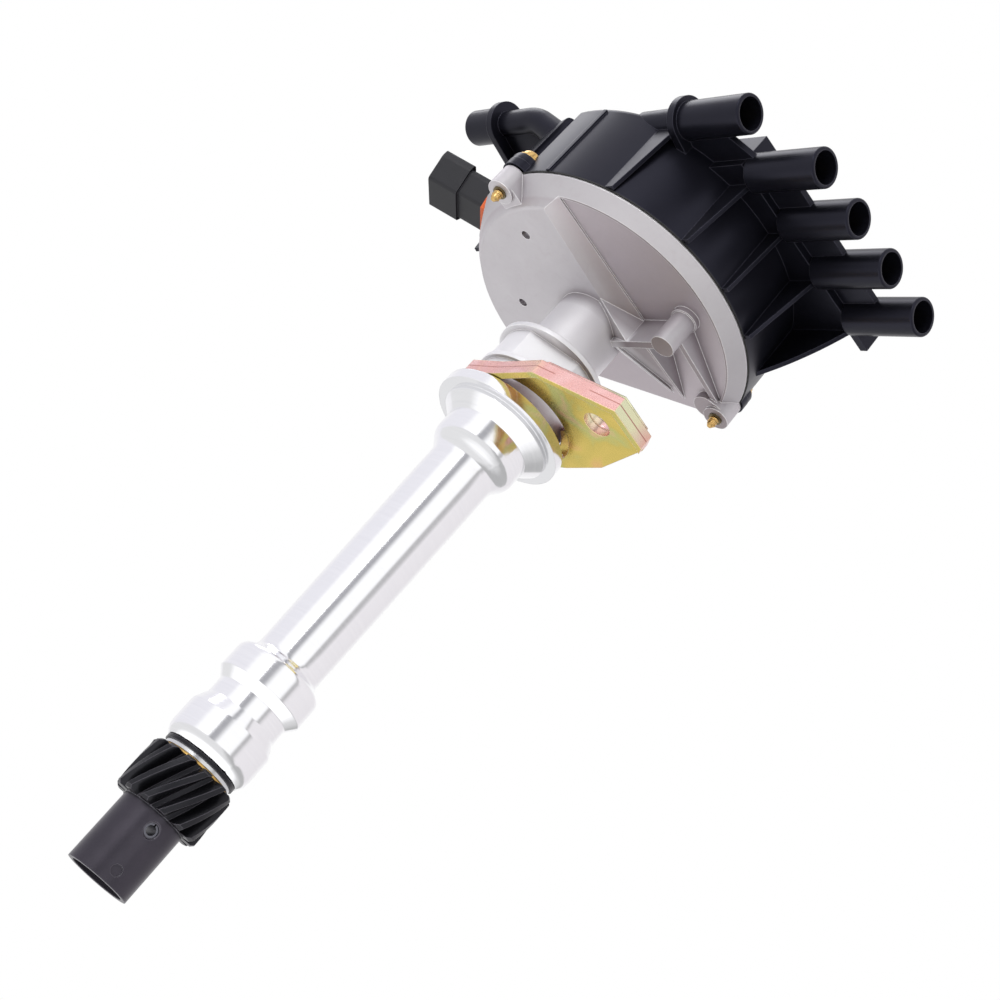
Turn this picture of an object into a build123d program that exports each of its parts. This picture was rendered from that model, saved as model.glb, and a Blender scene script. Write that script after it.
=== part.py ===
from build123d import *

import os
from math import acos, atan2, cos, degrees, hypot, pi, radians, sin, sqrt, tan

# Ignition distributor with a flat moulded cap, a Hall cam sensor and a helical drive gear.
# +Z runs up the drive shaft from the gear to the cap. z = 0 is the underside of the mounting
# collar, where the distributor sits on the engine, and +X is the way the right-hand cable
# towers point. Millimetres.

os.makedirs("parts", exist_ok=True)


def save(piece, name):
    """Label a finished piece and write it to its own STEP file."""
    piece.part.label = name
    export_step(piece.part, f"parts/{name}.step")


# ------------------------------------------------------------------ fits and clearances
running_fit = 0.05     # radial, shaft in its bushings and seal
press_fit = 0.02       # radial, pieces pressed, screwed or pinned together
moving_gap = 0.3       # between pieces that move past each other
locating_fit = 0.2     # between moulded pieces that locate each other

# ------------------------------------------------------------------ shaft and bearings
shaft_r = 6.35
shaft_nose_r = 5.5            # upper end, inside the vane wheel
bore_relief = 0.9             # radial, between the two bushings
bushing_wall = 1.65
lower_bushing_length = 22.0
upper_bushing_length = 20.0
bushing_inset = 0.5           # back from the end of the column
seal_r = 10.5
seal_height = 4.0

# ------------------------------------------------------------------ housing column, downwards
seat_step = 1.5               # upright step under the collar
seat_step_r = 22.4
cone_length = 4.7             # from the step down to the pilot
pilot_r = 17.25
pilot_length = 6.6
pilot_flare = 9.6
tube_top_r = 13.1
tube_length = 93.8
tube_bottom_r = 12.2
band_flare = 6.7
band_r = 16.6
band_length = 8.1
band_chamfer = 3.5
groove_r = 13.75
groove_length = 6.1
shoulder_length = 4.8
journal_r = 16.15
journal_length = 9.1
nose_length = 4.5
nose_end_r = 14.2

pilot_top_z = -seat_step - cone_length
pilot_bottom_z = pilot_top_z - pilot_length
tube_top_z = pilot_bottom_z - pilot_flare
tube_bottom_z = tube_top_z - tube_length
band_top_z = tube_bottom_z - band_flare
band_bottom_z = band_top_z - band_length
groove_top_z = band_bottom_z - band_chamfer
groove_bottom_z = groove_top_z - groove_length
journal_top_z = groove_bottom_z - shoulder_length
journal_bottom_z = journal_top_z - journal_length
nose_z = journal_bottom_z - nose_length

# ------------------------------------------------------------------ housing neck, upwards
collar_r = 26.5
collar_height = 4.3
clamp_groove_r = 20.3
clamp_groove_height = 13.7
flange_disc_r = 21.8
disc_height = 2.0
lower_neck_r = 20.8
lower_neck_height = 13.0
neck_flat = 17.8              # from the axis to each of the two flats
neck_flat_azimuth = -46.0
upper_disc_r = 23.1
neck_r = 14.85
neck_height = 27.0

groove_top = collar_height + clamp_groove_height
lower_neck_z = groove_top + disc_height
upper_disc_z = lower_neck_z + lower_neck_height
neck_z = upper_disc_z + disc_height
plate_z = neck_z + neck_height

# ------------------------------------------------------------------ bowl
rim_r = 62.5
rim_height = 9.5
rim_land = 0.6                # upright land under the seam
plate_r = 53.8                # flat underside, where the flare starts
plate_round = 1.6
rim_wall = 2.5
mouth_depth = 2.0
floor_wall = 3.0
pocket_floor = 3.0
lip_height = 0.7              # ring that borders the pocket
lip_width = 0.9
chord_azimuth = 107.7         # the flat side of the bowl and the cap
chord_distance = 42.8
chord_slope = 10.3            # how far the flat side leans in over its height
chord_slope_height = 7.8
connector_flat_in = 5.3       # depth of the flat under the connector

seam_z = plate_z + rim_height
floor_z = seam_z - mouth_depth
pocket_z = floor_z - pocket_floor
lip_z = pocket_z - lip_height
recess_z = plate_z + floor_wall
connector_flat = rim_r - connector_flat_in
flare = (rim_r - plate_r) / (rim_height - rim_land)
lip_r = plate_r + flare * (lip_z - plate_z) - lip_width

# sloping step between the flat underside and the pocket
step_rim_x = 7.8              # upper edge, at the rim and at the neck
step_neck = (11.7, -12.2)
step_foot_rim_x = 13.9        # foot, at the rim and at the web
step_foot = (23.0, 1.8)
pocket_back_azimuth = 135.0   # end of the pocket behind the neck

# web, post and the ribs behind them
web_z = 54.0
web_thickness = 3.0
wedge_depth = 6.0
post_xy = (45.0, 0.5)
post_r = 4.7
post_z = 50.2
post_boss_r = 5.4
post_boss = 2.2
gusset_near_x = (14.8, 31.8)
gusset_tips = ((16.4, 38.2), (20.6, 41.0))
gusset_rib = 1.3
gusset_sink = 1.3
long_rib_z = 57.5
long_rib_width = 2.4

# screw ears
ear_azimuths = (-98.8, 50.9)
ear_insets = (0.3, 3.4)       # screw centres inside the rim
ear_r = 5.3
ear_root = 5.5
ear_step = 1.2
insert_r = 2.7
insert_lip = 0.6
screw_r = 1.8
screw_tip = 2.0
screw_head_r = 3.7
screw_head = 3.2
washer_seat_r = 4.6

# ------------------------------------------------------------------ cap
gasket = 0.5
drum_step = 0.5
drum_wall = 3.0
drum_round = 3.0
roof_z = 104.0
deck_z = 112.0
spigot_wall = 2.2
spigot_depth = 1.3
head_z = 103.5
head_top_z = 120.5
bank_slope = 0.199            # the right-hand row leans this much in X for each mm of Y
bank_y = 1.0
bank_reach = 10.5             # outer face of the right-hand row beyond the rim, at bank_y
left_bank_reach = 4.5
head_wall = 3.0
head_front_y = -38.0
head_back_y = 38.0
bank_end_y = 46.0
deck_rib = 6.0
cap_ear_r = 6.0
cap_ear_height = 3.8
tower_z = 107.9
tower_y = -31.2
tower_pitch = 21.47
tower_count = 4
tower_length = 29.3
tower_r = 7.1
tower_round = 0.7
tower_bore_r = 5.8
tower_bore_depth = 20.0
tower_bore_floor = 1.0
tower_web = 2.4
tower_web_reach = 14.0
fin_thickness = 1.6
fin_foot = 2.4
fin_offset = 2.2
side_rib_azimuth = -82.0
side_rib = 0.8
end_wall = 1.8
end_wall_foot = 5.2           # lower edge of the end wall, above the seam
end_wall_bow = 1.3
corner_tower_y = -53.1
corner_tower_z = 111.0
corner_flange_x = 44.0
corner_flange = 3.0
corner_flange_r = 9.0
corner_flange_tip = (16.0, -7.2)
corner_length = 28.2
corner_stub_r = 5.2
corner_stub_x = 22.0
left_tower_y = -61.3
left_flange_x = -53.0
left_length = 15.9
elbow_in_x = -32.0
elbow_end = (-10.0, -52.0)
elbow_drop = 8.0
elbow_bend = 16.0

# ------------------------------------------------------------------ ignition parts in the cap
button_r = 3.2
button_length = 6.5
button_boss_r = 8.0
button_boss = 3.5
spring_wire = 0.6
spring_turns = 5
spring_length = 6.0
terminal_count = 8
terminal_wall_gap = 0.5
terminal_r = 2.8
terminal_drop = 11.0
terminal_bury = 4.0
pin_r = 2.2
pin_length = 9.0
pin_bury = 3.0

# ------------------------------------------------------------------ vane wheel and rotor
wheel_z = 83.0
wheel_disc = 1.2
wheel_r = 29.2
wheel_skirt = 10.0
wheel_wall = 1.2
wheel_hub_r = 9.0
wheel_hub = 7.0
rotor_r = 24.0
rotor_base = 4.0
rotor_hub_r = 11.0
rotor_height = 10.8
arm_reach = 31.0
arm_width = 12.0
arm_height = 4.0
blade_width = 9.0
blade_thickness = 1.2
blade_gap = 0.7
leaf_width = 7.0
leaf_thickness = 0.5
leaf_rise = 1.6
leaf_half_length = 10.0
rotor_screw_y = 17.0
rotor_screw_r = 2.0
rotor_screw_head_r = 3.8
rotor_screw_head = 2.4

# ------------------------------------------------------------------ cam sensor and connector
sensor_azimuth = 217.5
sensor_offset = 7.6
sensor_screw_x = 32.8
sensor_screw_spread = 20.2
sensor_screw_r = 1.9
sensor_screw_head_r = 3.6
sensor_screw_head = 2.2
sensor_screw_short = 1.3      # the tip stays this far inside the plate
sensor_base = 3.6
sensor_base_half = 8.0
sensor_block_in = 21.0
sensor_block_out = 40.0
sensor_block_half = 12.5
sensor_top_z = 81.8
sensor_slot_floor_z = 71.0
sensor_slot_in_r = 26.2
sensor_slot_out_r = 31.0
neck_half_width = 8.0
neck_low_z = 73.0
neck_high_z = 82.0
connector_waist_reach = 15.8  # beyond the flat
connector_mouth_reach = 29.3
connector_low_z = 71.2
connector_high_z = 84.6
connector_round = 1.6
connector_slope = 9.5
connector_flat_half = 8.0
connector_half = 12.5
connector_waist_step = 1.2
connector_wall = 1.8
connector_depth = 11.0
connector_pin_pitch = 5.4
connector_pin = 1.5
connector_pin_height = 5.0
connector_pin_length = 8.0
latch_width = 6.0
latch_height = 1.6
seal_wall = 0.8

# ------------------------------------------------------------------ gear end
shim_thickness = 0.7
shim_r = 12.4
washer_thickness = 1.3
washer_r = 13.2
spacer_thickness = 1.3
spacer_r = 13.9
teeth = 13
normal_module = 1.976
helix_angle = 28.5
pressure_angle = 20.0
gear_tip_r = 16.1             # passes through the bore of the lower journal
gear_root_r = 11.95
gear_face = 18.8
gear_chamfer = 1.0
sleeve_r = 11.6
sleeve_length = 25.6
sleeve_mouth_r = 9.8
sleeve_mouth = 10.0
drive_slot = 4.8
drive_slot_depth = 7.0
roll_pin_r = 2.38
roll_pin_wall = 0.75
roll_pin_z = -186.8
roll_pin_azimuth = -17.5
pin_chamfer_r = 3.0
dimple_z = -202.3
dimple_r = 1.9
dimple_depth = 0.8

# ------------------------------------------------------------------ hold-down clamp
clamp_lift = 0.3
clamp_flange = 3.4
clamp_plate = 3.0
clamp_wall = 2.6
clamp_slot_r = 21.3
clamp_slot_x = 6.5
clamp_hole_x = 46.4
clamp_hole_r = 5.3


# ================================================================== housing
flat_side = Plane(
    origin=(0, 0, 0),
    x_dir=Vector(1, 0, 0).rotate(Axis.Z, chord_azimuth),
    z_dir=Vector(1, 0, 0).rotate(Axis.Z, chord_azimuth).cross(Vector(0, 0, 1)),
)


def upright(start, end):
    """Plane that stands on the line from start to end: local x along it, local y up."""
    along = Vector(end[0] - start[0], end[1] - start[1], 0)
    return Plane(origin=(start[0], start[1], 0), x_dir=along, z_dir=along.cross(Vector(0, 0, 1)))


def distance(start, end):
    return hypot(end[0] - start[0], end[1] - start[1])


def polar(radius, azimuth):
    return (radius * cos(radians(azimuth)), radius * sin(radians(azimuth)))


ear_radii = [rim_r - inset for inset in ear_insets]
ears = [polar(radius, azimuth) for radius, azimuth in zip(ear_radii, ear_azimuths)]
ear_roots = [polar(radius - ear_root, azimuth) for radius, azimuth in zip(ear_radii, ear_azimuths)]
relief_r = shaft_r + bore_relief
bushing_r = shaft_r + running_fit + bushing_wall
lower_bushing_z = nose_z + bushing_inset
upper_bushing_z = plate_z - upper_bushing_length
seal_z = floor_z - seal_height

sensor_plane = Plane(origin=(0, 0, 0), x_dir=Vector(1, 0, 0).rotate(Axis.Z, sensor_azimuth))
sensor_screws = [
    (sensor_screw_x, sensor_offset + side * sensor_screw_spread) for side in (-1, 1)
]


def sensor_level(z):
    """Horizontal sketch plane whose local x points out along the connector."""
    return sensor_plane.offset(z)


def bowl_plan(radius, inset, wells=True):
    """Plan of the bowl and the cap, drawn in all round from its outside.

    It has the long flat side, the short flat under the connector and, where it bounds a
    hollow, a bulge round each cap screw.
    """
    with BuildSketch() as plan:
        Circle(radius - inset)
        for azimuth, reach in ((chord_azimuth, chord_distance), (sensor_azimuth, connector_flat)):
            with Locations(Rotation(0, 0, azimuth)):
                with Locations((reach - inset, 0)):
                    Rectangle(
                        2 * radius, 4 * radius, align=(Align.MIN, Align.CENTER), mode=Mode.SUBTRACT
                    )
        if wells:
            with Locations(*ears):
                Circle(washer_seat_r + inset, mode=Mode.SUBTRACT)
    return plan.sketch


def pocket_plan(near_rim_x, near_neck):
    """Corners of the pocket, whose left side runs from the rim to the neck or the web."""
    run = (near_neck[0] - near_rim_x) / (near_neck[1] + rim_r)
    return [
        (near_rim_x - run * rim_r, -2 * rim_r),
        near_neck,
        (0, 0),
        polar(2 * rim_r, pocket_back_azimuth),
        (2 * rim_r, 2 * rim_r),
        (2 * rim_r, -2 * rim_r),
    ]


mouth_plan = bowl_plan(rim_r, rim_wall)

with BuildPart() as housing:
    # turned column, from the pilot down to the nose
    with BuildSketch(Plane.XZ):
        with BuildLine():
            Polyline(
                (0, 0),
                (seat_step_r, 0),
                (seat_step_r, -seat_step),
                (pilot_r, pilot_top_z),
                (pilot_r, pilot_bottom_z),
            )
            Spline(
                (pilot_r, pilot_bottom_z),
                ((pilot_r + tube_top_r) / 2, pilot_bottom_z - 0.5 * pilot_flare),
                (tube_top_r, tube_top_z),
                tangents=[(0, -1), (0, -1)],
            )
            Line((tube_top_r, tube_top_z), (tube_bottom_r, tube_bottom_z))
            Spline(
                (tube_bottom_r, tube_bottom_z),
                ((tube_bottom_r + band_r) / 2, tube_bottom_z - 0.52 * band_flare),
                (band_r, band_top_z),
                tangents=[(0, -1), (0, -1)],
            )
            Polyline(
                (band_r, band_top_z),
                (band_r, band_bottom_z),
                (groove_r, groove_top_z),
                (groove_r, groove_bottom_z),
                (journal_r, journal_top_z),
                (journal_r, journal_bottom_z),
            )
            TangentArc(
                (journal_r, journal_bottom_z), (nose_end_r, nose_z), tangent=(0, -1)
            )
            Polyline((nose_end_r, nose_z), (0, nose_z), (0, 0))
        make_face()
    revolve(axis=Axis.Z)

    # collar, clamp groove and neck
    with BuildSketch(Plane.XZ):
        with BuildLine():
            Polyline(
                (0, 0),
                (collar_r, 0),
                (collar_r, collar_height),
                (clamp_groove_r, collar_height),
                (clamp_groove_r, groove_top),
                (flange_disc_r, groove_top),
                (flange_disc_r, lower_neck_z),
                (lower_neck_r, lower_neck_z),
                (lower_neck_r, upper_disc_z),
                (upper_disc_r, upper_disc_z),
                (upper_disc_r, neck_z),
                (neck_r, neck_z),
                (neck_r, pocket_z),
                (0, pocket_z),
                close=True,
            )
        make_face()
    revolve(axis=Axis.Z)
    for turn in (0, 180):
        flat = Plane(
            origin=(0, 0, lower_neck_z),
            x_dir=Vector(1, 0, 0).rotate(Axis.Z, neck_flat_azimuth + turn),
        )
        with BuildSketch(flat):
            with Locations((neck_flat + upper_disc_r / 2, 0)):
                Rectangle(upper_disc_r, 2 * upper_disc_r)
        extrude(amount=lower_neck_height, mode=Mode.SUBTRACT)

    # bowl that flares from its flat underside to the seam
    with BuildSketch(Plane.XZ) as bowl_section:
        with BuildLine():
            Polyline(
                (0, plate_z),
                (plate_r, plate_z),
                (rim_r, seam_z - rim_land),
                (rim_r, seam_z),
                (0, seam_z),
                close=True,
            )
        make_face()
        fillet(bowl_section.vertices().sort_by_distance((plate_r, plate_z))[0], plate_round)
    revolve(axis=Axis.Z)

    # pocket under the right-hand side: its sloping step, then its floor inside the lip
    with BuildSketch(Plane.XY.offset(plate_z)):
        Polygon(*pocket_plan(step_rim_x, step_neck), align=None)
    with BuildSketch(Plane.XY.offset(lip_z)):
        Polygon(*pocket_plan(step_foot_rim_x, step_foot), align=None)
    loft(mode=Mode.SUBTRACT)
    with BuildSketch(Plane.XY.offset(lip_z)):
        Circle(lip_r)
        Polygon(*pocket_plan(step_foot_rim_x, step_foot), align=None, mode=Mode.INTERSECT)
    extrude(amount=lip_height, mode=Mode.SUBTRACT)
    with BuildSketch(Plane.XY.offset(neck_z)):
        Circle(neck_r)
    extrude(amount=floor_z - neck_z)

    # web from the neck to the post, and the wedge that joins it to the step
    with BuildSketch(Plane.XZ.offset(-step_foot[1])):
        with Locations((0, web_z)):
            Rectangle(post_xy[0], floor_z - web_z, align=(Align.MIN, Align.MIN))
    extrude(amount=-web_thickness)
    wedge_length = distance(step_neck, step_foot)
    with BuildSketch(upright(step_neck, step_foot)):
        Polygon(
            (0, plate_z),
            (wedge_length, web_z),
            (wedge_length, floor_z),
            (0, floor_z),
            align=None,
        )
    extrude(amount=-wedge_depth)
    with BuildSketch(Plane.XY.offset(post_z)):
        with Locations(post_xy):
            Circle(post_r)
    extrude(amount=floor_z - post_z)
    with BuildSketch(Plane.XY.offset(pocket_z - post_boss)):
        with Locations(post_xy):
            Circle(post_boss_r)
    extrude(amount=floor_z - pocket_z + post_boss)

    # gusset behind the web: two ribs and the sunk face between them
    gusset_y = step_foot[1] + web_thickness / 2
    for near_x, tip in zip(gusset_near_x, gusset_tips):
        near = (near_x, gusset_y)
        with BuildSketch(upright(near, tip)):
            Polygon(
                (0, web_z),
                (distance(near, tip), pocket_z),
                (distance(near, tip), floor_z),
                (0, floor_z),
                align=None,
            )
        extrude(amount=gusset_rib / 2, both=True)
    with BuildSketch(Plane.XZ.offset(-gusset_y)):
        Polygon(
            (gusset_near_x[0], web_z + gusset_sink),
            (gusset_near_x[1], web_z + gusset_sink),
            (gusset_near_x[1], floor_z),
            (gusset_near_x[0], floor_z),
            align=None,
        )
    with BuildSketch(Plane.XZ.offset(-gusset_tips[0][1])):
        Polygon(
            (gusset_tips[0][0], pocket_z + gusset_sink),
            (gusset_tips[1][0], pocket_z + gusset_sink),
            (gusset_tips[1][0], floor_z),
            (gusset_tips[0][0], floor_z),
            align=None,
        )
    loft()

    # flat side, leaning in below the seam, and the flat under the connector
    with BuildSketch(flat_side):
        Polygon(
            (chord_distance, seam_z + 1),
            (chord_distance, seam_z),
            (chord_distance - chord_slope, seam_z - chord_slope_height),
            (chord_distance - chord_slope, plate_z - 1),
            (2 * rim_r, plate_z - 1),
            (2 * rim_r, seam_z + 1),
            align=None,
        )
    extrude(amount=2 * rim_r, both=True, mode=Mode.SUBTRACT)
    with BuildSketch(sensor_level(plate_z)):
        with Locations((connector_flat, 0)):
            Rectangle(rim_r, 2 * rim_r, align=(Align.MIN, Align.CENTER))
    extrude(amount=rim_height, mode=Mode.SUBTRACT)

    # screw ears, and the rib from the post to the ear beside the flat side
    for ear, root in zip(ears, ear_roots):
        with BuildSketch(Plane.XY.offset(plate_z)):
            with Locations(ear):
                Circle(ear_r)
        extrude(amount=rim_height)
        with BuildSketch(Plane.XY.offset(plate_z + ear_step)):
            with Locations(ear, root):
                Circle(ear_r)
            make_hull()
        extrude(amount=rim_height - ear_step)
    with BuildSketch(upright(post_xy, ears[1])):
        Polygon(
            (0, long_rib_z),
            (distance(post_xy, ears[1]), lip_z),
            (distance(post_xy, ears[1]), floor_z),
            (0, floor_z),
            align=None,
        )
    extrude(amount=long_rib_width / 2, both=True)

    # mouth of the bowl, above its floor
    with BuildSketch(Plane.XY.offset(floor_z)):
        add(mouth_plan)
    extrude(amount=mouth_depth + 1, mode=Mode.SUBTRACT)

    # recess for the cam sensor
    with BuildSketch(sensor_level(recess_z)):
        with Locations((sensor_screw_x, sensor_offset)):
            SlotOverall(
                2 * (sensor_screw_spread + sensor_base_half + locating_fit),
                2 * (sensor_base_half + locating_fit),
                rotation=90,
            )
        with Locations(((sensor_block_in + sensor_block_out) / 2, sensor_offset)):
            Rectangle(
                sensor_block_out - sensor_block_in + 2 * locating_fit,
                2 * (sensor_block_half + locating_fit),
            )
    extrude(amount=seam_z - recess_z, mode=Mode.SUBTRACT)

    # bore for the bushings, the shaft and its seal
    with BuildSketch(Plane.XZ):
        with BuildLine():
            Polyline(
                (0, nose_z - 1),
                (bushing_r + press_fit, nose_z - 1),
                (bushing_r + press_fit, lower_bushing_z + lower_bushing_length),
                (relief_r, lower_bushing_z + lower_bushing_length),
                (relief_r, upper_bushing_z),
                (bushing_r + press_fit, upper_bushing_z),
                (bushing_r + press_fit, plate_z),
                (relief_r, plate_z),
                (relief_r, seal_z),
                (seal_r + press_fit, seal_z),
                (seal_r + press_fit, seam_z),
                (0, seam_z),
                close=True,
            )
        make_face()
    revolve(axis=Axis.Z, mode=Mode.SUBTRACT)

    # holes for the ear inserts and the sensor screws
    with Locations(*[(x, y, seam_z) for x, y in ears]):
        Hole(insert_r + press_fit, depth=rim_height + 1)
    with BuildSketch(sensor_level(plate_z - 1)):
        with Locations(*sensor_screws):
            Circle(sensor_screw_r + press_fit)
    extrude(amount=recess_z - plate_z + 2, mode=Mode.SUBTRACT)

save(housing, "housing")

# ================================================================== bushings and seal
for name, low_z, length in (
    ("lower_bushing", lower_bushing_z, lower_bushing_length),
    ("upper_bushing", upper_bushing_z, upper_bushing_length),
):
    with BuildPart() as bushing:
        with BuildSketch(Plane.XY.offset(low_z)):
            Circle(bushing_r)
            Circle(shaft_r + running_fit, mode=Mode.SUBTRACT)
        extrude(amount=length)
    save(bushing, name)

with BuildPart() as shaft_seal:
    with BuildSketch(Plane.XY.offset(seal_z)):
        Circle(seal_r)
        Circle(shaft_r + running_fit, mode=Mode.SUBTRACT)
    extrude(amount=seal_height)
save(shaft_seal, "shaft_seal")

# ================================================================== gear end
spacer_z = nose_z - moving_gap - spacer_thickness
washer_z = spacer_z - washer_thickness
shim_z = washer_z - shim_thickness
gear_bottom_z = shim_z - gear_face
mouth_z = gear_bottom_z - sleeve_length
shaft_end_z = mouth_z + sleeve_mouth
wheel_hub_z = wheel_z - wheel_hub
wheel_top_z = wheel_z + wheel_disc

for name, low_z, thickness, outer_r in (
    ("brass_shim", shim_z, shim_thickness, shim_r),
    ("thrust_washer", washer_z, washer_thickness, washer_r),
    ("spacer_washer", spacer_z, spacer_thickness, spacer_r),
):
    with BuildPart() as washer:
        with BuildSketch(Plane.XY.offset(low_z)):
            Circle(outer_r)
            Circle(shaft_r + press_fit, mode=Mode.SUBTRACT)
        extrude(amount=thickness)
    save(washer, name)

# Involute teeth in the transverse section: the half width of a tooth, as an angle, at a radius.
transverse_pressure = atan2(tan(radians(pressure_angle)), cos(radians(helix_angle)))
pitch_r = teeth * normal_module / cos(radians(helix_angle)) / 2
base_r = pitch_r * cos(transverse_pressure)


def involute(angle):
    return tan(angle) - angle


def tooth_half_angle(radius):
    lean = acos(min(1.0, base_r / radius))
    return degrees(pi / (2 * teeth) + involute(transverse_pressure) - involute(lean))


flank_radii = [max(gear_root_r, base_r), pitch_r, gear_tip_r]
twist = degrees(gear_face * tan(radians(helix_angle)) / pitch_r)
gap_centre = 180 / teeth

with BuildSketch() as tooth_ring:
    with BuildLine():
        for index in range(teeth):
            centre = index * 360 / teeth
            rise = [polar(r, centre - tooth_half_angle(r)) for r in flank_radii]
            fall = [polar(r, centre + tooth_half_angle(r)) for r in reversed(flank_radii)]
            root_half = tooth_half_angle(flank_radii[0]) + 1.5
            root_in = polar(gear_root_r, centre - root_half)
            root_out = polar(gear_root_r, centre + root_half)
            next_root = polar(gear_root_r, centre + 360 / teeth - root_half)
            Line(root_in, rise[0])
            ThreePointArc(*rise)
            ThreePointArc(rise[-1], polar(gear_tip_r, centre), fall[0])
            ThreePointArc(*fall)
            Line(fall[-1], root_out)
            ThreePointArc(root_out, polar(gear_root_r, centre + gap_centre), next_root)
    make_face()

tooth_prism = Solid.extrude_linear_with_rotation(
    tooth_ring.sketch.face(), (0, 0, 0), (0, 0, gear_face), twist
).moved(Location((0, 0, gear_bottom_z)))

with BuildPart() as drive_gear:
    add(tooth_prism)
    # chamfered tooth ends
    with BuildSketch(Plane.XZ):
        with BuildLine():
            Polyline(
                (gear_tip_r - gear_chamfer, gear_bottom_z),
                (gear_tip_r, gear_bottom_z + gear_chamfer),
                (gear_tip_r, shim_z - gear_chamfer),
                (gear_tip_r - gear_chamfer, shim_z),
                (2 * gear_tip_r, shim_z),
                (2 * gear_tip_r, gear_bottom_z),
                close=True,
            )
        make_face()
    revolve(axis=Axis.Z, mode=Mode.SUBTRACT)
    # hub sleeve with its open mouth
    with BuildSketch(Plane.XY.offset(mouth_z)):
        Circle(sleeve_r)
    extrude(amount=sleeve_length + gear_face / 2)
    with BuildSketch(Plane.XY.offset(mouth_z)):
        Circle(sleeve_mouth_r)
    extrude(amount=sleeve_mouth, mode=Mode.SUBTRACT)
    with BuildSketch(Plane.XY.offset(mouth_z)):
        Circle(shaft_r + press_fit)
    extrude(amount=sleeve_length + gear_face, mode=Mode.SUBTRACT)
    # cross hole for the roll pin, chamfered, and the timing dimple
    pin_direction = Vector(1, 0, 0).rotate(Axis.Z, roll_pin_azimuth)
    pin_plane = Plane(origin=(0, 0, roll_pin_z), x_dir=(0, 0, 1), z_dir=pin_direction)
    with BuildSketch(pin_plane):
        Circle(roll_pin_r + press_fit)
    extrude(amount=gear_tip_r, both=True, mode=Mode.SUBTRACT)
    for side in (1, -1):
        with BuildSketch(pin_plane.offset(side * (sleeve_r + 0.2))):
            Circle(pin_chamfer_r + 0.2)
        extrude(amount=-side * (pin_chamfer_r - roll_pin_r), taper=45, mode=Mode.SUBTRACT)
    dimple = Plane(origin=(0, 0, dimple_z), x_dir=(0, 0, 1), z_dir=pin_direction)
    with BuildSketch(dimple.offset(sleeve_r - dimple_depth)):
        Circle(dimple_r)
    extrude(amount=2 * dimple_depth, mode=Mode.SUBTRACT)
save(drive_gear, "drive_gear")

with BuildPart() as roll_pin:
    with BuildSketch(pin_plane.offset(-sleeve_r + 1)):
        Circle(roll_pin_r)
        Circle(roll_pin_r - roll_pin_wall, mode=Mode.SUBTRACT)
        with Locations((roll_pin_r, 0)):
            Rectangle(2 * roll_pin_r, 0.5, mode=Mode.SUBTRACT)
    extrude(amount=2 * sleeve_r - 2)
save(roll_pin, "roll_pin")

with BuildPart() as main_shaft:
    with BuildSketch(Plane.XY.offset(shaft_end_z)):
        Circle(shaft_r)
    extrude(amount=wheel_hub_z - shaft_end_z)
    with BuildSketch(Plane.XY.offset(wheel_hub_z)):
        Circle(shaft_nose_r)
    extrude(amount=wheel_hub + wheel_disc)
    # slot that drives the oil pump shaft
    with BuildSketch(Plane.XY.offset(shaft_end_z)):
        Rectangle(drive_slot, 2 * shaft_r)
    extrude(amount=drive_slot_depth, mode=Mode.SUBTRACT)
    with BuildSketch(pin_plane):
        Circle(roll_pin_r + press_fit)
    extrude(amount=2 * shaft_r, both=True, mode=Mode.SUBTRACT)
save(main_shaft, "main_shaft")

# ================================================================== hold-down clamp
clamp_low_z = collar_height + clamp_lift
clamp_plate_z = clamp_low_z + clamp_flange
clamp_front = [(-4.5, -24.8), (12.0, -24.6), (34.0, -26.2)]
clamp_end = [(64.5, -10.6), (66.6, 6.2)]
clamp_back = [(62.0, 10.6), (35.0, 21.6), (15.0, 24.0), (-3.5, 24.4)]

with BuildPart() as hold_down_clamp:
    with BuildSketch(Plane.XY.offset(clamp_low_z)):
        Polygon(*clamp_front, *clamp_end, *clamp_back, align=None)
    extrude(amount=clamp_flange + clamp_plate)
    # the flange hangs down along the front arm and the outer end
    with BuildSketch(Plane.XY.offset(clamp_low_z)):
        Polygon(
            (clamp_slot_x, -clamp_slot_r),
            (clamp_front[-1][0], clamp_front[-1][1] + clamp_wall),
            (clamp_end[0][0] - clamp_wall, clamp_end[0][1] + clamp_wall / 2),
            (clamp_end[1][0] - clamp_wall, clamp_end[1][1]),
            (clamp_back[0][0], 2 * clamp_slot_r),
            (-clamp_slot_r, 2 * clamp_slot_r),
            (-clamp_slot_r, -clamp_slot_r),
            align=None,
        )
    extrude(amount=clamp_flange, mode=Mode.SUBTRACT)
    # fork slot and bolt hole
    with BuildSketch(Plane.XY.offset(clamp_low_z)):
        with Locations((clamp_slot_x, 0)):
            Circle(clamp_slot_r)
            Rectangle(2 * rim_r, 2 * clamp_slot_r, align=(Align.MAX, Align.CENTER))
        with Locations((clamp_hole_x, 0)):
            Circle(clamp_hole_r)
    extrude(amount=clamp_flange + clamp_plate, mode=Mode.SUBTRACT)
save(hold_down_clamp, "hold_down_clamp")

# ================================================================== cap
cap_z = seam_z + gasket
drum_r = rim_r + drum_step
bank_x = rim_r + bank_reach
left_bank_x = -rim_r - left_bank_reach


def bank_face(y):
    """Outer face of the right-hand row of towers at a place along it."""
    return bank_x + bank_slope * (y - bank_y)


tower_ys = [tower_y + index * tower_pitch for index in range(tower_count)]
# each tower: side it points to, x of its root face, y, z and length
plug_towers = [(1, bank_face(y), y, tower_z, tower_length) for y in tower_ys]
plug_towers += [(-1, left_bank_x, y, tower_z, tower_length) for y in tower_ys[1:]]
corner_towers = [
    (1, corner_flange_x, corner_tower_y, corner_tower_z, corner_length),
    (-1, left_flange_x, left_tower_y, corner_tower_z, left_length),
]
towers = plug_towers + corner_towers
web_pairs = list(zip(plug_towers[:tower_count], plug_towers[1:tower_count]))
web_pairs += list(zip(plug_towers[tower_count:], plug_towers[tower_count + 1 :]))


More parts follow.
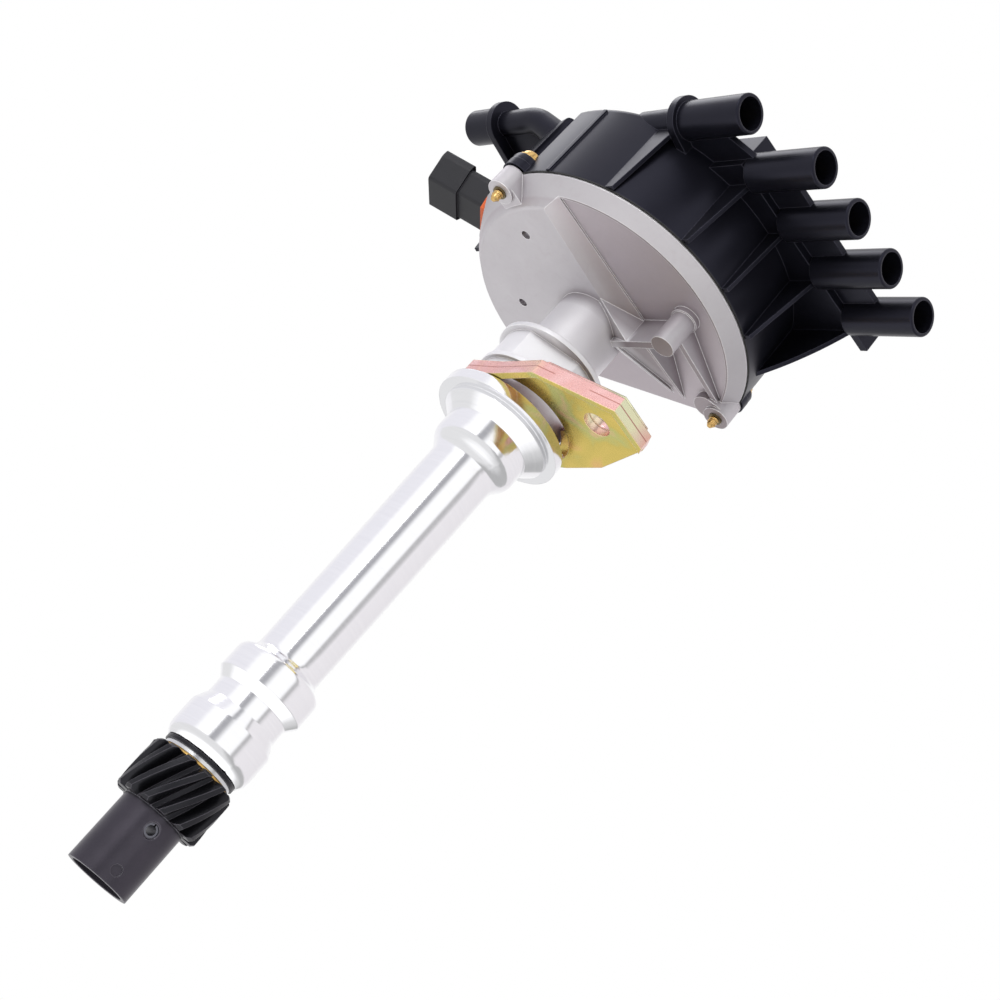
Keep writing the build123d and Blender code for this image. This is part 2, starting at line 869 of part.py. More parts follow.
def tower_plane(side, x, y, z):
    """Sketch plane square to a tower, facing out of its mouth."""
    return Plane(origin=(x, y, z), x_dir=(0, side, 0), z_dir=(side, 0, 0))


terminal_radius = chord_distance - drum_wall - terminal_wall_gap - terminal_r


def bore_depth(length):
    """Depth of a tower's bore, which stops short of its root."""
    return min(tower_bore_depth, length - tower_bore_floor)


def bore_floor(side, x, length):
    return x + side * (length - bore_depth(length))


def drum_x(y):
    """Half width of the drum at a place along it."""
    return sqrt(drum_r**2 - y**2)


drum_plan = bowl_plan(drum_r, 0, wells=False)
drum_hollow = bowl_plan(drum_r, drum_wall)
spigot_outer = bowl_plan(rim_r, rim_wall + locating_fit)
spigot_inner = bowl_plan(rim_r, rim_wall + locating_fit + spigot_wall)
spigot_z = seam_z - spigot_depth
notch_half = neck_half_width + seal_wall
notch_top_z = neck_high_z + seal_wall
leaf_z = wheel_top_z + rotor_height + blade_thickness
button_z = leaf_z + leaf_rise + moving_gap
spring_z = button_z + button_length
spring_top_z = spring_z + spring_length
screw_seat_z = cap_z + cap_ear_height

head_outline = [
    (bank_face(head_front_y), head_front_y),
    (bank_face(head_back_y), head_back_y),
    (left_bank_x, head_back_y),
    (left_bank_x, head_front_y),
]
bank_walls = [
    [
        (bank_face(head_front_y) - head_wall, head_front_y),
        (bank_face(head_front_y), head_front_y),
        (bank_face(bank_end_y), bank_end_y),
        (bank_face(bank_end_y) - head_wall, bank_end_y),
    ],
    [
        (left_bank_x, head_front_y),
        (left_bank_x + head_wall, head_front_y),
        (left_bank_x + head_wall, bank_end_y),
        (left_bank_x, bank_end_y),
    ],
]

with BuildPart() as cap:
    # drum with the same flat sides as the bowl
    with BuildSketch(Plane.XY.offset(cap_z)):
        add(drum_plan)
    extrude(amount=deck_z - cap_z)
    fillet(cap.faces().sort_by(Axis.Z)[-1].edges(), drum_round)

    # ears over the housing's ears, and the wells above them for the screws
    for ear, root in zip(ears, ear_roots):
        with BuildSketch(Plane.XY.offset(cap_z)):
            with Locations(ear, root):
                Circle(cap_ear_r)
            make_hull()
        extrude(amount=cap_ear_height)
    with BuildSketch(Plane.XY.offset(screw_seat_z)):
        with Locations(*ears):
            Circle(washer_seat_r)
    extrude(amount=deck_z - screw_seat_z, mode=Mode.SUBTRACT)

    # head: deck, and the walls that carry the towers
    with BuildSketch(Plane.XY.offset(head_z)):
        Polygon(*head_outline, align=None)
    extrude(amount=deck_z - head_z)
    with BuildSketch(Plane.XY.offset(head_z)):
        Polygon(*head_outline, align=None)
        offset(amount=-head_wall, mode=Mode.SUBTRACT)
        for wall in bank_walls:
            Polygon(*wall, align=None)
    extrude(amount=head_top_z - head_z)

    # ribs over the deck, one for each tower
    for y in tower_ys:
        with BuildSketch(Plane.XY.offset(deck_z)):
            with Locations((bank_face(y), y)):
                Rectangle(bank_face(y) - left_bank_x, deck_rib, align=(Align.MAX, Align.CENTER))
        extrude(amount=(head_top_z - deck_z) / 2)
    with BuildSketch(Plane.XY.offset(deck_z)):
        Circle(button_boss_r + 2 * drum_wall)
    extrude(amount=(head_top_z - deck_z) / 2)

    # fins under the head, from the drum out to the tower row
    for side, x_of in ((1, bank_face), (-1, lambda y: -left_bank_x)):
        for y in tower_ys[:3]:
            fin_y = y + fin_offset
            with BuildSketch(Plane.XZ.offset(-fin_y)):
                Polygon(
                    (side * (drum_x(fin_y) - drum_wall / 2), cap_z),
                    (side * (drum_x(fin_y) + fin_foot), cap_z),
                    (side * (x_of(y) - head_wall / 2), head_z + 1),
                    (side * (drum_x(fin_y) - drum_wall / 2), head_z + 1),
                    align=None,
                )
            extrude(amount=fin_thickness / 2, both=True)

    # end walls, bowed below, from the drum to the rows
    for side, reach in ((1, bank_face(head_back_y)), (-1, -left_bank_x)):
        inner_x = side * (drum_x(head_back_y) - drum_wall / 2)
        outer_x = side * (reach - head_wall / 2)
        foot_z = cap_z + end_wall_foot
        with BuildSketch(Plane.XZ.offset(-head_back_y)):
            with BuildLine():
                Polyline((inner_x, foot_z), (inner_x, head_z + 1), (outer_x, head_z + 1))
                ThreePointArc(
                    (outer_x, head_z + 1),
                    (
                        (inner_x + outer_x) / 2 + side * end_wall_bow,
                        (foot_z + head_z) / 2 - end_wall_bow,
                    ),
                    (inner_x, foot_z),
                )
            make_face()
        extrude(amount=end_wall)

    # fin under the corner tower, and the thin rib beside it
    with BuildSketch(Plane.XZ.offset(-corner_tower_y)):
        Polygon(
            (drum_x(corner_tower_y) - drum_wall / 2, cap_z),
            (drum_x(corner_tower_y) + fin_foot, cap_z),
            (corner_flange_x - corner_flange / 2, corner_tower_z),
            (drum_x(corner_tower_y) - drum_wall / 2, corner_tower_z),
            align=None,
        )
    extrude(amount=fin_thickness / 2, both=True)
    with BuildSketch(Plane.XY.offset(cap_z)):
        with PolarLocations(drum_r - drum_wall / 2, 1, start_angle=side_rib_azimuth):
            Rectangle(drum_wall / 2 + side_rib, fin_thickness, align=(Align.MIN, Align.CENTER))
    extrude(amount=deck_z - drum_round - cap_z)

    # flanges and stubs of the two corner towers
    for side, x, y, z, length in corner_towers:
        with BuildSketch(tower_plane(side, x - side * corner_flange, y, z)):
            Circle(corner_flange_r)
            with Locations((side * corner_flange_tip[0], corner_flange_tip[1])):
                Circle(corner_flange / 2)
            make_hull()
        extrude(amount=corner_flange)
    with BuildSketch(tower_plane(1, corner_stub_x, corner_tower_y, corner_tower_z)):
        Circle(corner_stub_r)
    extrude(amount=corner_flange_x - corner_stub_x)
    with BuildLine() as elbow:
        FilletPolyline(
            (left_flange_x, left_tower_y, corner_tower_z),
            (elbow_in_x, left_tower_y, corner_tower_z),
            (*elbow_end, corner_tower_z - elbow_drop),
            radius=elbow_bend,
        )
    with BuildSketch(tower_plane(1, left_flange_x, left_tower_y, corner_tower_z)):
        Circle(corner_stub_r)
    sweep(path=elbow.wires()[0])

    # webs between neighbouring towers
    for a, b in web_pairs:
        side = a[0]
        with BuildSketch(Plane.XY.offset(tower_z - tower_web / 2)):
            Polygon(
                (a[1] - side * head_wall / 2, a[2]),
                (a[1] + side * tower_web_reach, a[2]),
                (b[1] + side * tower_web_reach, b[2]),
                (b[1] - side * head_wall / 2, b[2]),
                align=None,
            )
        extrude(amount=tower_web)
    with BuildSketch(Plane.XY.offset(tower_z - tower_web / 2)):
        Polygon(
            (corner_flange_x - corner_flange, corner_tower_y),
            (corner_flange_x + tower_web_reach, corner_tower_y),
            (bank_face(tower_y) + tower_web_reach / 2, tower_y),
            (bank_face(tower_y) - head_wall, head_front_y),
            (corner_flange_x - corner_flange, head_front_y),
            align=None,
        )
        Polygon(
            (left_flange_x, left_tower_y),
            (left_flange_x / 2, left_tower_y),
            (left_flange_x / 2, head_front_y),
            (left_flange_x, head_front_y),
            align=None,
        )
    extrude(amount=tower_web)

    # towers, rounded at the mouth
    for side, x, y, z, length in towers:
        with BuildSketch(Plane(origin=(x - side, y, z), x_dir=(side, 0, 0))) as tube:
            Rectangle(length + 1, tower_r, align=(Align.MIN, Align.MIN))
            fillet(tube.vertices().sort_by_distance((length + 1, tower_r))[0], tower_round)
        revolve(axis=Axis((x, y, z), (1, 0, 0)))
        with BuildSketch(tower_plane(side, x + side * (length + 1), y, z)):
            Circle(tower_bore_r)
        extrude(amount=-bore_depth(length) - 1, mode=Mode.SUBTRACT)

    # hollow of the drum, and the screw holes
    with BuildSketch(Plane.XY.offset(cap_z)):
        add(drum_hollow)
    extrude(amount=roof_z - cap_z, mode=Mode.SUBTRACT)
    with Locations(*[(x, y, screw_seat_z) for x, y in ears]):
        Hole(screw_r + locating_fit, depth=cap_ear_height + 1)

    # spigot that enters the bowl
    with BuildSketch(Plane.XY.offset(spigot_z)):
        add(spigot_outer)
        add(spigot_inner, mode=Mode.SUBTRACT)
    extrude(amount=cap_z + drum_wall - spigot_z)

    # notch for the connector neck and its seal
    with BuildSketch(sensor_level(spigot_z)):
        with Locations((connector_flat - drum_wall, sensor_offset)):
            Rectangle(4 * drum_wall, 2 * notch_half)
    extrude(amount=notch_top_z - spigot_z, mode=Mode.SUBTRACT)

    # boss, bore and spring seat of the centre button
    with BuildSketch(Plane.XY.offset(roof_z - button_boss)):
        Circle(button_boss_r)
    extrude(amount=button_boss)
    with BuildSketch(Plane.XY.offset(roof_z - button_boss)):
        Circle(button_r + moving_gap / 2)
    extrude(amount=spring_top_z - roof_z + button_boss, mode=Mode.SUBTRACT)

    # sockets of the moulded-in contacts
    with BuildSketch(Plane.XY.offset(roof_z)):
        with PolarLocations(terminal_radius, terminal_count, start_angle=180 / terminal_count):
            Circle(terminal_r + press_fit)
    extrude(amount=terminal_bury, mode=Mode.SUBTRACT)
    for side, x, y, z, length in towers:
        with BuildSketch(tower_plane(side, bore_floor(side, x, length), y, z)):
            Circle(pin_r + press_fit)
        extrude(amount=-pin_bury, mode=Mode.SUBTRACT)
save(cap, "cap")

with BuildPart() as cap_gasket:
    with BuildSketch(Plane.XY.offset(seam_z)):
        add(drum_plan)
        add(mouth_plan, mode=Mode.SUBTRACT)
        with Locations(*ears):
            Circle(screw_r + locating_fit, mode=Mode.SUBTRACT)
    extrude(amount=gasket)
save(cap_gasket, "cap_gasket")

# ================================================================== contacts in the cap
with BuildPart() as cap_terminals:
    with BuildSketch(Plane.XY.offset(roof_z - terminal_drop)):
        with PolarLocations(terminal_radius, terminal_count, start_angle=180 / terminal_count):
            Circle(terminal_r)
    extrude(amount=terminal_drop + terminal_bury)
save(cap_terminals, "cap_terminals")

with BuildPart() as tower_terminals:
    for side, x, y, z, length in towers:
        with BuildSketch(tower_plane(side, bore_floor(side, x, length) - side * pin_bury, y, z)):
            Circle(pin_r)
        extrude(amount=pin_bury + pin_length)
save(tower_terminals, "tower_terminals")

with BuildPart() as carbon_button:
    with BuildSketch(Plane.XY.offset(button_z)):
        Circle(button_r)
    extrude(amount=button_length)
    chamfer(carbon_button.faces().sort_by(Axis.Z)[0].edges(), button_r / 4)
save(carbon_button, "carbon_button")

spring_r = button_r - 1.5 * spring_wire
with BuildPart() as button_spring:
    with BuildLine():
        coil = Helix(
            pitch=(spring_length - spring_wire) / spring_turns,
            height=spring_length - spring_wire,
            radius=spring_r,
            center=(0, 0, spring_z + spring_wire / 2),
        )
    with BuildSketch(Plane(origin=coil @ 0, z_dir=coil % 0)):
        Circle(spring_wire / 2)
    sweep()
save(button_spring, "button_spring")

# ================================================================== fasteners of the cap
with BuildPart() as screw_inserts:
    with BuildSketch(Plane.XY.offset(plate_z - insert_lip)):
        with Locations(*ears):
            Circle(insert_r)
            Circle(screw_r + press_fit, mode=Mode.SUBTRACT)
    extrude(amount=rim_height + insert_lip - locating_fit)
save(screw_inserts, "screw_inserts")

with BuildPart() as cap_screws:
    with BuildSketch(Plane.XY.offset(plate_z - screw_tip)):
        with Locations(*ears):
            Circle(screw_r)
    extrude(amount=screw_seat_z - plate_z + screw_tip)
    with BuildSketch(Plane.XY.offset(screw_seat_z)):
        with Locations(*ears):
            Circle(washer_seat_r - locating_fit)
    extrude(amount=screw_head / 4)
    with BuildSketch(Plane.XY.offset(screw_seat_z)):
        with Locations(*ears):
            RegularPolygon(screw_head_r, 6)
    extrude(amount=screw_head)
save(cap_screws, "cap_screws")

# ================================================================== vane wheel and rotor
rotor_azimuth = 180 / terminal_count
blade_reach = terminal_radius - terminal_r - blade_gap
rotor_plane = Plane(origin=(0, 0, 0), x_dir=Vector(1, 0, 0).rotate(Axis.Z, rotor_azimuth))
rotor_screw_spots = [(0, -rotor_screw_y), (0, rotor_screw_y)]
rotor_base_z = wheel_top_z + rotor_base
rotor_top_z = wheel_top_z + rotor_height

with BuildPart() as vane_wheel:
    with BuildSketch(rotor_plane.offset(wheel_hub_z)):
        Circle(wheel_hub_r)
    extrude(amount=wheel_hub)
    with BuildSketch(rotor_plane.offset(wheel_z)):
        Circle(wheel_r)
    extrude(amount=wheel_disc)
    with BuildSketch(rotor_plane.offset(wheel_z - wheel_skirt)):
        Circle(wheel_r)
        Circle(wheel_r - wheel_wall, mode=Mode.SUBTRACT)
        Rectangle(2 * wheel_r, 2 * wheel_r, align=(Align.CENTER, Align.MAX), mode=Mode.SUBTRACT)
    extrude(amount=wheel_skirt)
    with BuildSketch(rotor_plane.offset(wheel_hub_z)):
        Circle(shaft_nose_r + press_fit)
        with Locations(*rotor_screw_spots):
            Circle(rotor_screw_r + press_fit)
    extrude(amount=wheel_hub + wheel_disc, mode=Mode.SUBTRACT)
save(vane_wheel, "vane_wheel")

with BuildPart() as rotor:
    with BuildSketch(rotor_plane.offset(wheel_top_z)):
        Circle(rotor_r)
    extrude(amount=rotor_base)
    with BuildSketch(rotor_plane.offset(rotor_base_z)):
        Circle(rotor_hub_r)
    extrude(amount=rotor_height - rotor_base)
    with BuildSketch(rotor_plane.offset(rotor_top_z - arm_height)):
        Rectangle(arm_reach, arm_width, align=(Align.MIN, Align.CENTER))
        Rectangle(rotor_r - 2, arm_width, align=(Align.MAX, Align.CENTER))
    extrude(amount=arm_height)
    # rib from the base up to the arm
    with BuildSketch(rotor_plane.offset(rotor_base_z)):
        Rectangle(2 * rotor_r - 2, arm_width / 4)
    extrude(amount=rotor_height - rotor_base - arm_height)
    with BuildSketch(rotor_plane.offset(wheel_top_z)):
        with Locations(*rotor_screw_spots):
            Circle(rotor_screw_r + press_fit)
    extrude(amount=rotor_base, mode=Mode.SUBTRACT)
save(rotor, "rotor")

with BuildPart() as rotor_blade:
    with BuildSketch(rotor_plane.offset(rotor_top_z)):
        Circle(blade_reach)
        Rectangle(2 * blade_reach, blade_width, mode=Mode.INTERSECT)
        with Locations((-leaf_half_length - 1, 0)):
            Rectangle(
                2 * blade_reach, blade_width, align=(Align.MAX, Align.CENTER), mode=Mode.SUBTRACT
            )
    extrude(amount=blade_thickness)
save(rotor_blade, "rotor_blade")

leaf_plane = Plane(
    origin=(0, 0, leaf_z), x_dir=rotor_plane.x_dir, z_dir=rotor_plane.x_dir.cross(Vector(0, 0, 1))
)
with BuildPart() as contact_spring:
    with BuildSketch(leaf_plane):
        with BuildLine():
            ThreePointArc(
                (-leaf_half_length, leaf_thickness),
                (0, leaf_rise),
                (leaf_half_length, leaf_thickness),
            )
            Polyline(
                (leaf_half_length, leaf_thickness),
                (leaf_half_length, 0),
                (leaf_half_length - leaf_thickness, 0),
            )
            ThreePointArc(
                (leaf_half_length - leaf_thickness, 0),
                (0, leaf_rise - leaf_thickness),
                (leaf_thickness - leaf_half_length, 0),
            )
            Polyline(
                (leaf_thickness - leaf_half_length, 0),
                (-leaf_half_length, 0),
                (-leaf_half_length, leaf_thickness),
            )
        make_face()
    extrude(amount=leaf_width / 2, both=True)
save(contact_spring, "contact_spring")

with BuildPart() as rotor_screws:
    with BuildSketch(rotor_plane.offset(wheel_z)):
        with Locations(*rotor_screw_spots):
            Circle(rotor_screw_r)
    extrude(amount=wheel_disc + rotor_base)
    with BuildSketch(rotor_plane.offset(rotor_base_z)):
        with Locations(*rotor_screw_spots):
            Circle(rotor_screw_head_r)
    extrude(amount=rotor_screw_head)
save(rotor_screws, "rotor_screws")

# ================================================================== cam sensor
sensor_base_z = recess_z + sensor_base
connector_in = connector_flat + locating_fit
seal_in = connector_flat - drum_wall
connector_waist = connector_flat + connector_waist_reach
connector_out = connector_flat + connector_mouth_reach

with BuildPart() as cam_sensor:
    with BuildSketch(sensor_level(recess_z)):
        with Locations((sensor_screw_x, sensor_offset)):
            SlotOverall(
                2 * (sensor_screw_spread + sensor_base_half), 2 * sensor_base_half, rotation=90
            )
        with Locations(*sensor_screws):
            Circle(sensor_screw_r + press_fit, mode=Mode.SUBTRACT)
    extrude(amount=sensor_base)
    with BuildSketch(sensor_level(sensor_base_z)):
        with Locations((sensor_block_in, sensor_offset)):
            Rectangle(
                sensor_block_out - sensor_block_in,
                2 * sensor_block_half,
                align=(Align.MIN, Align.CENTER),
            )
    extrude(amount=sensor_top_z - sensor_base_z)
    # slot for the vane
    with BuildSketch(sensor_level(sensor_slot_floor_z)):
        Circle(sensor_slot_out_r)
        Circle(sensor_slot_in_r, mode=Mode.SUBTRACT)
    extrude(amount=sensor_top_z - sensor_slot_floor_z, mode=Mode.SUBTRACT)
    # neck that leaves through the cap
    with BuildSketch(sensor_level(neck_low_z)):
        with Locations((sensor_block_out, sensor_offset)):
            Rectangle(
                connector_in - sensor_block_out,
                2 * neck_half_width,
                align=(Align.MIN, Align.CENTER),
            )
    extrude(amount=neck_high_z - neck_low_z)
save(cam_sensor, "cam_sensor")

with BuildPart() as sensor_screw_pair:
    with BuildSketch(sensor_level(plate_z + sensor_screw_short)):
        with Locations(*sensor_screws):
            Circle(sensor_screw_r)
    extrude(amount=sensor_base_z - plate_z - sensor_screw_short)
    with BuildSketch(sensor_level(sensor_base_z)):
        with Locations(*sensor_screws):
            Circle(sensor_screw_head_r)
    extrude(amount=sensor_screw_head)
save(sensor_screw_pair, "sensor_screws")

with BuildPart() as sensor_seal:
    with BuildSketch(sensor_level(seam_z + gasket)):
        with Locations((seal_in, sensor_offset)):
            Rectangle(connector_in - seal_in, 2 * notch_half, align=(Align.MIN, Align.CENTER))
    extrude(amount=notch_top_z - cap_z)
    with BuildSketch(sensor_level(neck_low_z)):
        with Locations((seal_in, sensor_offset)):
            Rectangle(4 * drum_wall, 2 * neck_half_width)
    extrude(amount=neck_high_z - neck_low_z, mode=Mode.SUBTRACT)
save(sensor_seal, "sensor_seal")


def connector_plane(reach):
    """Upright plane square to the connector: local x across it, local y up."""
    across = sensor_plane.y_dir
    return Plane(
        origin=sensor_plane.x_dir * reach + across * sensor_offset,
        x_dir=across,
        z_dir=sensor_plane.x_dir,
    )


def connector_outline(inset):
    """Six-sided section of the connector, drawn in from its outside."""
    return [
        (-connector_flat_half + inset / 2, connector_low_z + inset),
        (connector_flat_half - inset / 2, connector_low_z + inset),
        (connector_half - inset, connector_low_z + connector_slope),
        (connector_half - inset, connector_high_z - inset),
        (-connector_half + inset, connector_high_z - inset),
        (-connector_half + inset, connector_low_z + connector_slope),
    ]


with BuildPart() as sensor_connector:
    for reach, end, inset in (
        (connector_in, connector_waist, connector_waist_step),
        (connector_waist, connector_out, 0),
    ):
        with BuildSketch(connector_plane(reach)) as section:
            Polygon(*connector_outline(inset), align=None)
            fillet(section.vertices(), connector_round)
        extrude(amount=end - reach)
    # latch for the plug
    with BuildSketch(connector_plane(connector_waist)):
        with Locations((0, connector_high_z)):
            Rectangle(latch_width, latch_height, align=(Align.CENTER, Align.MIN))
    extrude(amount=connector_depth / 2)
    with BuildSketch(connector_plane(connector_out)):
        Polygon(*connector_outline(connector_wall), align=None)
    extrude(amount=-connector_depth, mode=Mode.SUBTRACT)
save(sensor_connector, "sensor_connector")

with BuildPart() as connector_pins:
    with BuildSketch(connector_plane(connector_out - connector_depth)):
        with Locations((0, connector_low_z + connector_pin_height)):
            with GridLocations(connector_pin_pitch, 1, 3, 1):
                Rectangle(connector_pin, connector_pin)
    extrude(amount=connector_pin_length)
save(connector_pins, "connector_pins")
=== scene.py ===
import math

import bmesh
import bpy
from mathutils import Matrix, Vector


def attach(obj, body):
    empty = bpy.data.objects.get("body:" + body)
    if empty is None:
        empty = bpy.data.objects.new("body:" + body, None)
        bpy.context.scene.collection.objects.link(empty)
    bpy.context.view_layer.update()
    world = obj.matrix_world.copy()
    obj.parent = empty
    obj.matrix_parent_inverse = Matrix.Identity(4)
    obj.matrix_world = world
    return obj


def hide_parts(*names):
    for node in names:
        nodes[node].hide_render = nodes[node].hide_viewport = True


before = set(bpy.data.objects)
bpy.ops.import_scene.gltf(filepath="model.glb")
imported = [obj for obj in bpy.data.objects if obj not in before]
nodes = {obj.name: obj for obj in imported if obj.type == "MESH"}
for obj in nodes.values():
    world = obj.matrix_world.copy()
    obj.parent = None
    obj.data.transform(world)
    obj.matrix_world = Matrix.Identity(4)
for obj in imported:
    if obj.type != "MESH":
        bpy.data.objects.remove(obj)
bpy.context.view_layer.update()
mm = 0.001

# ---------------------------------------------------------------- camera
# The distributor hangs free on white. The camera looks up at the underside of its bowl,
# past the drive gear and along the shaft.
scene = bpy.context.scene
scene.view_settings.view_transform = "Standard"

camera = bpy.data.objects.new("camera", bpy.data.cameras.new("camera"))
scene.collection.objects.link(camera)
camera.data.lens = 55.021
camera.data.sensor_width = 36.0
camera.data.clip_start = 0.01
camera_right = Vector((0.644885, 0.478853, 0.595670))
camera_up = Vector((-0.099546, -0.720123, 0.686669))
camera_back = Vector((0.757769, -0.502119, -0.416728))
camera_place = Matrix((camera_right, camera_up, camera_back)).transposed().to_4x4()
camera_place.translation = Vector((426.535, -261.733, -249.105)) * mm
camera.matrix_world = camera_place
scene.camera = camera

# ---------------------------------------------------------------- studio
# A white room with two narrow grey screens. The screens draw the crisp grey lines along
# the turned column, and the walls beside it are a shade off white, so its flanks have form.


def linear(hex_colour):
    """sRGB hex colour as linear RGBA."""
    values = [int(hex_colour[i:i + 2], 16) / 255 for i in (0, 2, 4)]
    return [v / 12.92 if v <= 0.04045 else ((v + 0.055) / 1.055) ** 2.4 for v in values] + [1.0]


def add(tree, kind, settings=None, stops=(), **inputs):
    """Adds one node: settings are its properties, stops the places and colours of its ramp, and
    inputs its sockets, by name or as _number. A node given as an input stands for its first
    output in use, and a text is an sRGB hex colour."""
    node = tree.nodes.new(kind)
    for name, value in (settings or {}).items():
        setattr(node, name, value)
    if stops:
        marks = node.color_ramp.elements
        while len(marks) < len(stops):
            marks.new(0.5)
        for mark, (position, colour) in zip(marks, stops):
            mark.position = position
            mark.color = linear(colour)
    for name, value in inputs.items():
        socket = node.inputs[int(name[1:]) if name[1:].isdigit() else name.replace("_", " ")]
        if isinstance(value, bpy.types.Node):
            value = next(output for output in value.outputs if output.enabled)
        if isinstance(value, bpy.types.NodeSocket):
            tree.links.new(value, socket)
        else:
            socket.default_value = linear(value) if isinstance(value, str) else value
    return node


room_walls = (                  # compass direction from the shaft in degrees, colour of the wall
    (-180, "EDECEE"), (-160, "E7E6EB"), (-104, "E9E8ED"), (-92, "FFFFFF"), (-62, "FFFFFF"),
    (-55, "A4A4A8"), (-45, "A8A8AC"), (-33, "FFFFFF"), (5, "FFFFFF"), (11, "B4B3B4"),
    (16, "B4B3B4"), (21, "EAE7E9"), (100, "E4E1E3"), (135, "F4F4F4"), (180, "EDECEE"))
wall_stops = [((angle + 180) / 360, colour) for angle, colour in room_walls]
reflected_strength = 1.12
diffuse_strength = 0.55
world = bpy.data.worlds.new("white room")
scene.world = world
world.use_nodes = True
tree = world.node_tree
tree.nodes.clear()
way = add(tree, "ShaderNodeTexCoord").outputs["Generated"]
parts = add(tree, "ShaderNodeSeparateXYZ", Vector=way)
compass = add(tree, "ShaderNodeMath", {"operation": "ARCTAN2"}, _0=parts.outputs["Y"],
              _1=parts.outputs["X"])
turn = add(tree, "ShaderNodeMapRange", Value=compass, From_Min=-math.pi, From_Max=math.pi)
walls = add(tree, "ShaderNodeValToRGB", stops=wall_stops, Fac=turn)
ray = add(tree, "ShaderNodeLightPath")
strength = add(tree, "ShaderNodeMapRange", Value=ray.outputs["Is Diffuse Ray"],
               To_Min=reflected_strength, To_Max=diffuse_strength)
room = add(tree, "ShaderNodeBackground", Color=walls, Strength=strength)
white = add(tree, "ShaderNodeBackground", Color="FFFFFF", Strength=1.0)
seen = add(tree, "ShaderNodeMixShader", _0=ray.outputs["Is Camera Ray"], _1=room, _2=white)
add(tree, "ShaderNodeOutputWorld", Surface=seen)

lamp_target = Vector((0, 0, 20))        # mm, on the shaft axis at the neck


def softbox(name, place, size, watts, mirrored=False):
    """Square soft lamp at a place in millimetres; mirrored says whether gloss shows it."""
    lamp = bpy.data.lights.new(name, "AREA")
    lamp.size = size * mm
    lamp.energy = watts
    holder = bpy.data.objects.new(name, lamp)
    holder.location = Vector(place) * mm
    holder.rotation_euler = (lamp_target - Vector(place)).to_track_quat("-Z", "Y").to_euler()
    holder.visible_glossy = mirrored
    scene.collection.objects.link(holder)


softbox("key lamp", (250, -620, 330), 500, 3.0)
softbox("side lamp", (700, 250, -40), 600, 1.5)
softbox("low lamp", (100, -250, -620), 500, 1.6)
softbox("back lamp", (-430, -300, 560), 340, 0.8, mirrored=True)
softbox("strip lamp", (236, -649, 130), 220, 0.7, mirrored=True)

# White paper floor. Gloss sees it glow, brightest under the bowl and dimmer to one side.
floor_r = 3000
floor_drop = 360                # mm below the seat
dim_side = (0.5, 0.87, 0.0)
floor_mesh = bpy.data.meshes.new("floor")
shape = bmesh.new()
bmesh.ops.create_circle(shape, cap_ends=True, segments=96, radius=floor_r * mm)
shape.to_mesh(floor_mesh)
shape.free()
floor = bpy.data.objects.new("floor", floor_mesh)
scene.collection.objects.link(floor)
floor.location.z = -floor_drop * mm
paper = bpy.data.materials.new("white paper")
paper.use_nodes = True
tree = paper.node_tree
tree.nodes.clear()
matt = add(tree, "ShaderNodeBsdfDiffuse", Color="F4F4F4")
spot = add(tree, "ShaderNodeTexCoord").outputs["Object"]
far = add(tree, "ShaderNodeVectorMath", {"operation": "LENGTH"}, _0=spot)
far_glow = add(tree, "ShaderNodeMapRange", Value=far, From_Min=200 * mm, From_Max=450 * mm,
               To_Min=1.6, To_Max=0.92)
side = add(tree, "ShaderNodeVectorMath", {"operation": "DOT_PRODUCT"}, _0=spot, _1=dim_side)
side_glow = add(tree, "ShaderNodeMapRange", Value=side, From_Min=300 * mm, From_Max=700 * mm,
                To_Min=1.0, To_Max=0.6)
strength = add(tree, "ShaderNodeMath", {"operation": "MULTIPLY"}, _0=far_glow, _1=side_glow)
glow = add(tree, "ShaderNodeEmission", Color="F4F4F4", Strength=strength)
in_gloss = add(tree, "ShaderNodeLightPath").outputs["Is Glossy Ray"]
sheet = add(tree, "ShaderNodeMixShader", _0=in_gloss, _1=matt, _2=glow)
add(tree, "ShaderNodeOutputMaterial", Surface=sheet)
floor.data.materials.append(paper)

# ---------------------------------------------------------------- housing
# Bowl, neck and column are one aluminium casting. Above the collar it keeps the dull grey
# skin of the mould; from the collar down it is turned bright on a lathe.
colour_mix = {"data_type": "RGBA"}
times = {"operation": "MULTIPLY"}


def start_material(name):
    """New material without nodes; returns it, its tree and its object coordinates."""
    material = bpy.data.materials.new(name)
    material.use_nodes = True
    tree = material.node_tree
    tree.nodes.clear()
    return material, tree, add(tree, "ShaderNodeTexCoord").outputs["Object"]


def per_mm(size):
    """Texture scale at which one feature is about this many millimetres wide."""
    return 1 / (size * mm)


def edge_highlight_and_wear(tree, soft_normal):
    """1 along edges, 0 elsewhere: where the rounded normal turns away; paints edge highlights and wear."""
    true_normal = add(tree, "ShaderNodeNewGeometry").outputs["Normal"]
    along = add(tree, "ShaderNodeVectorMath", {"operation": "DOT_PRODUCT"}, _0=soft_normal, _1=true_normal)
    return add(tree, "ShaderNodeMapRange", Value=along, From_Min=0.995, From_Max=0.90)


def dress(material, *names):
    """Puts one material on CAD nodes."""
    for name in names:
        for holder in nodes[name].material_slots:
            holder.material = material
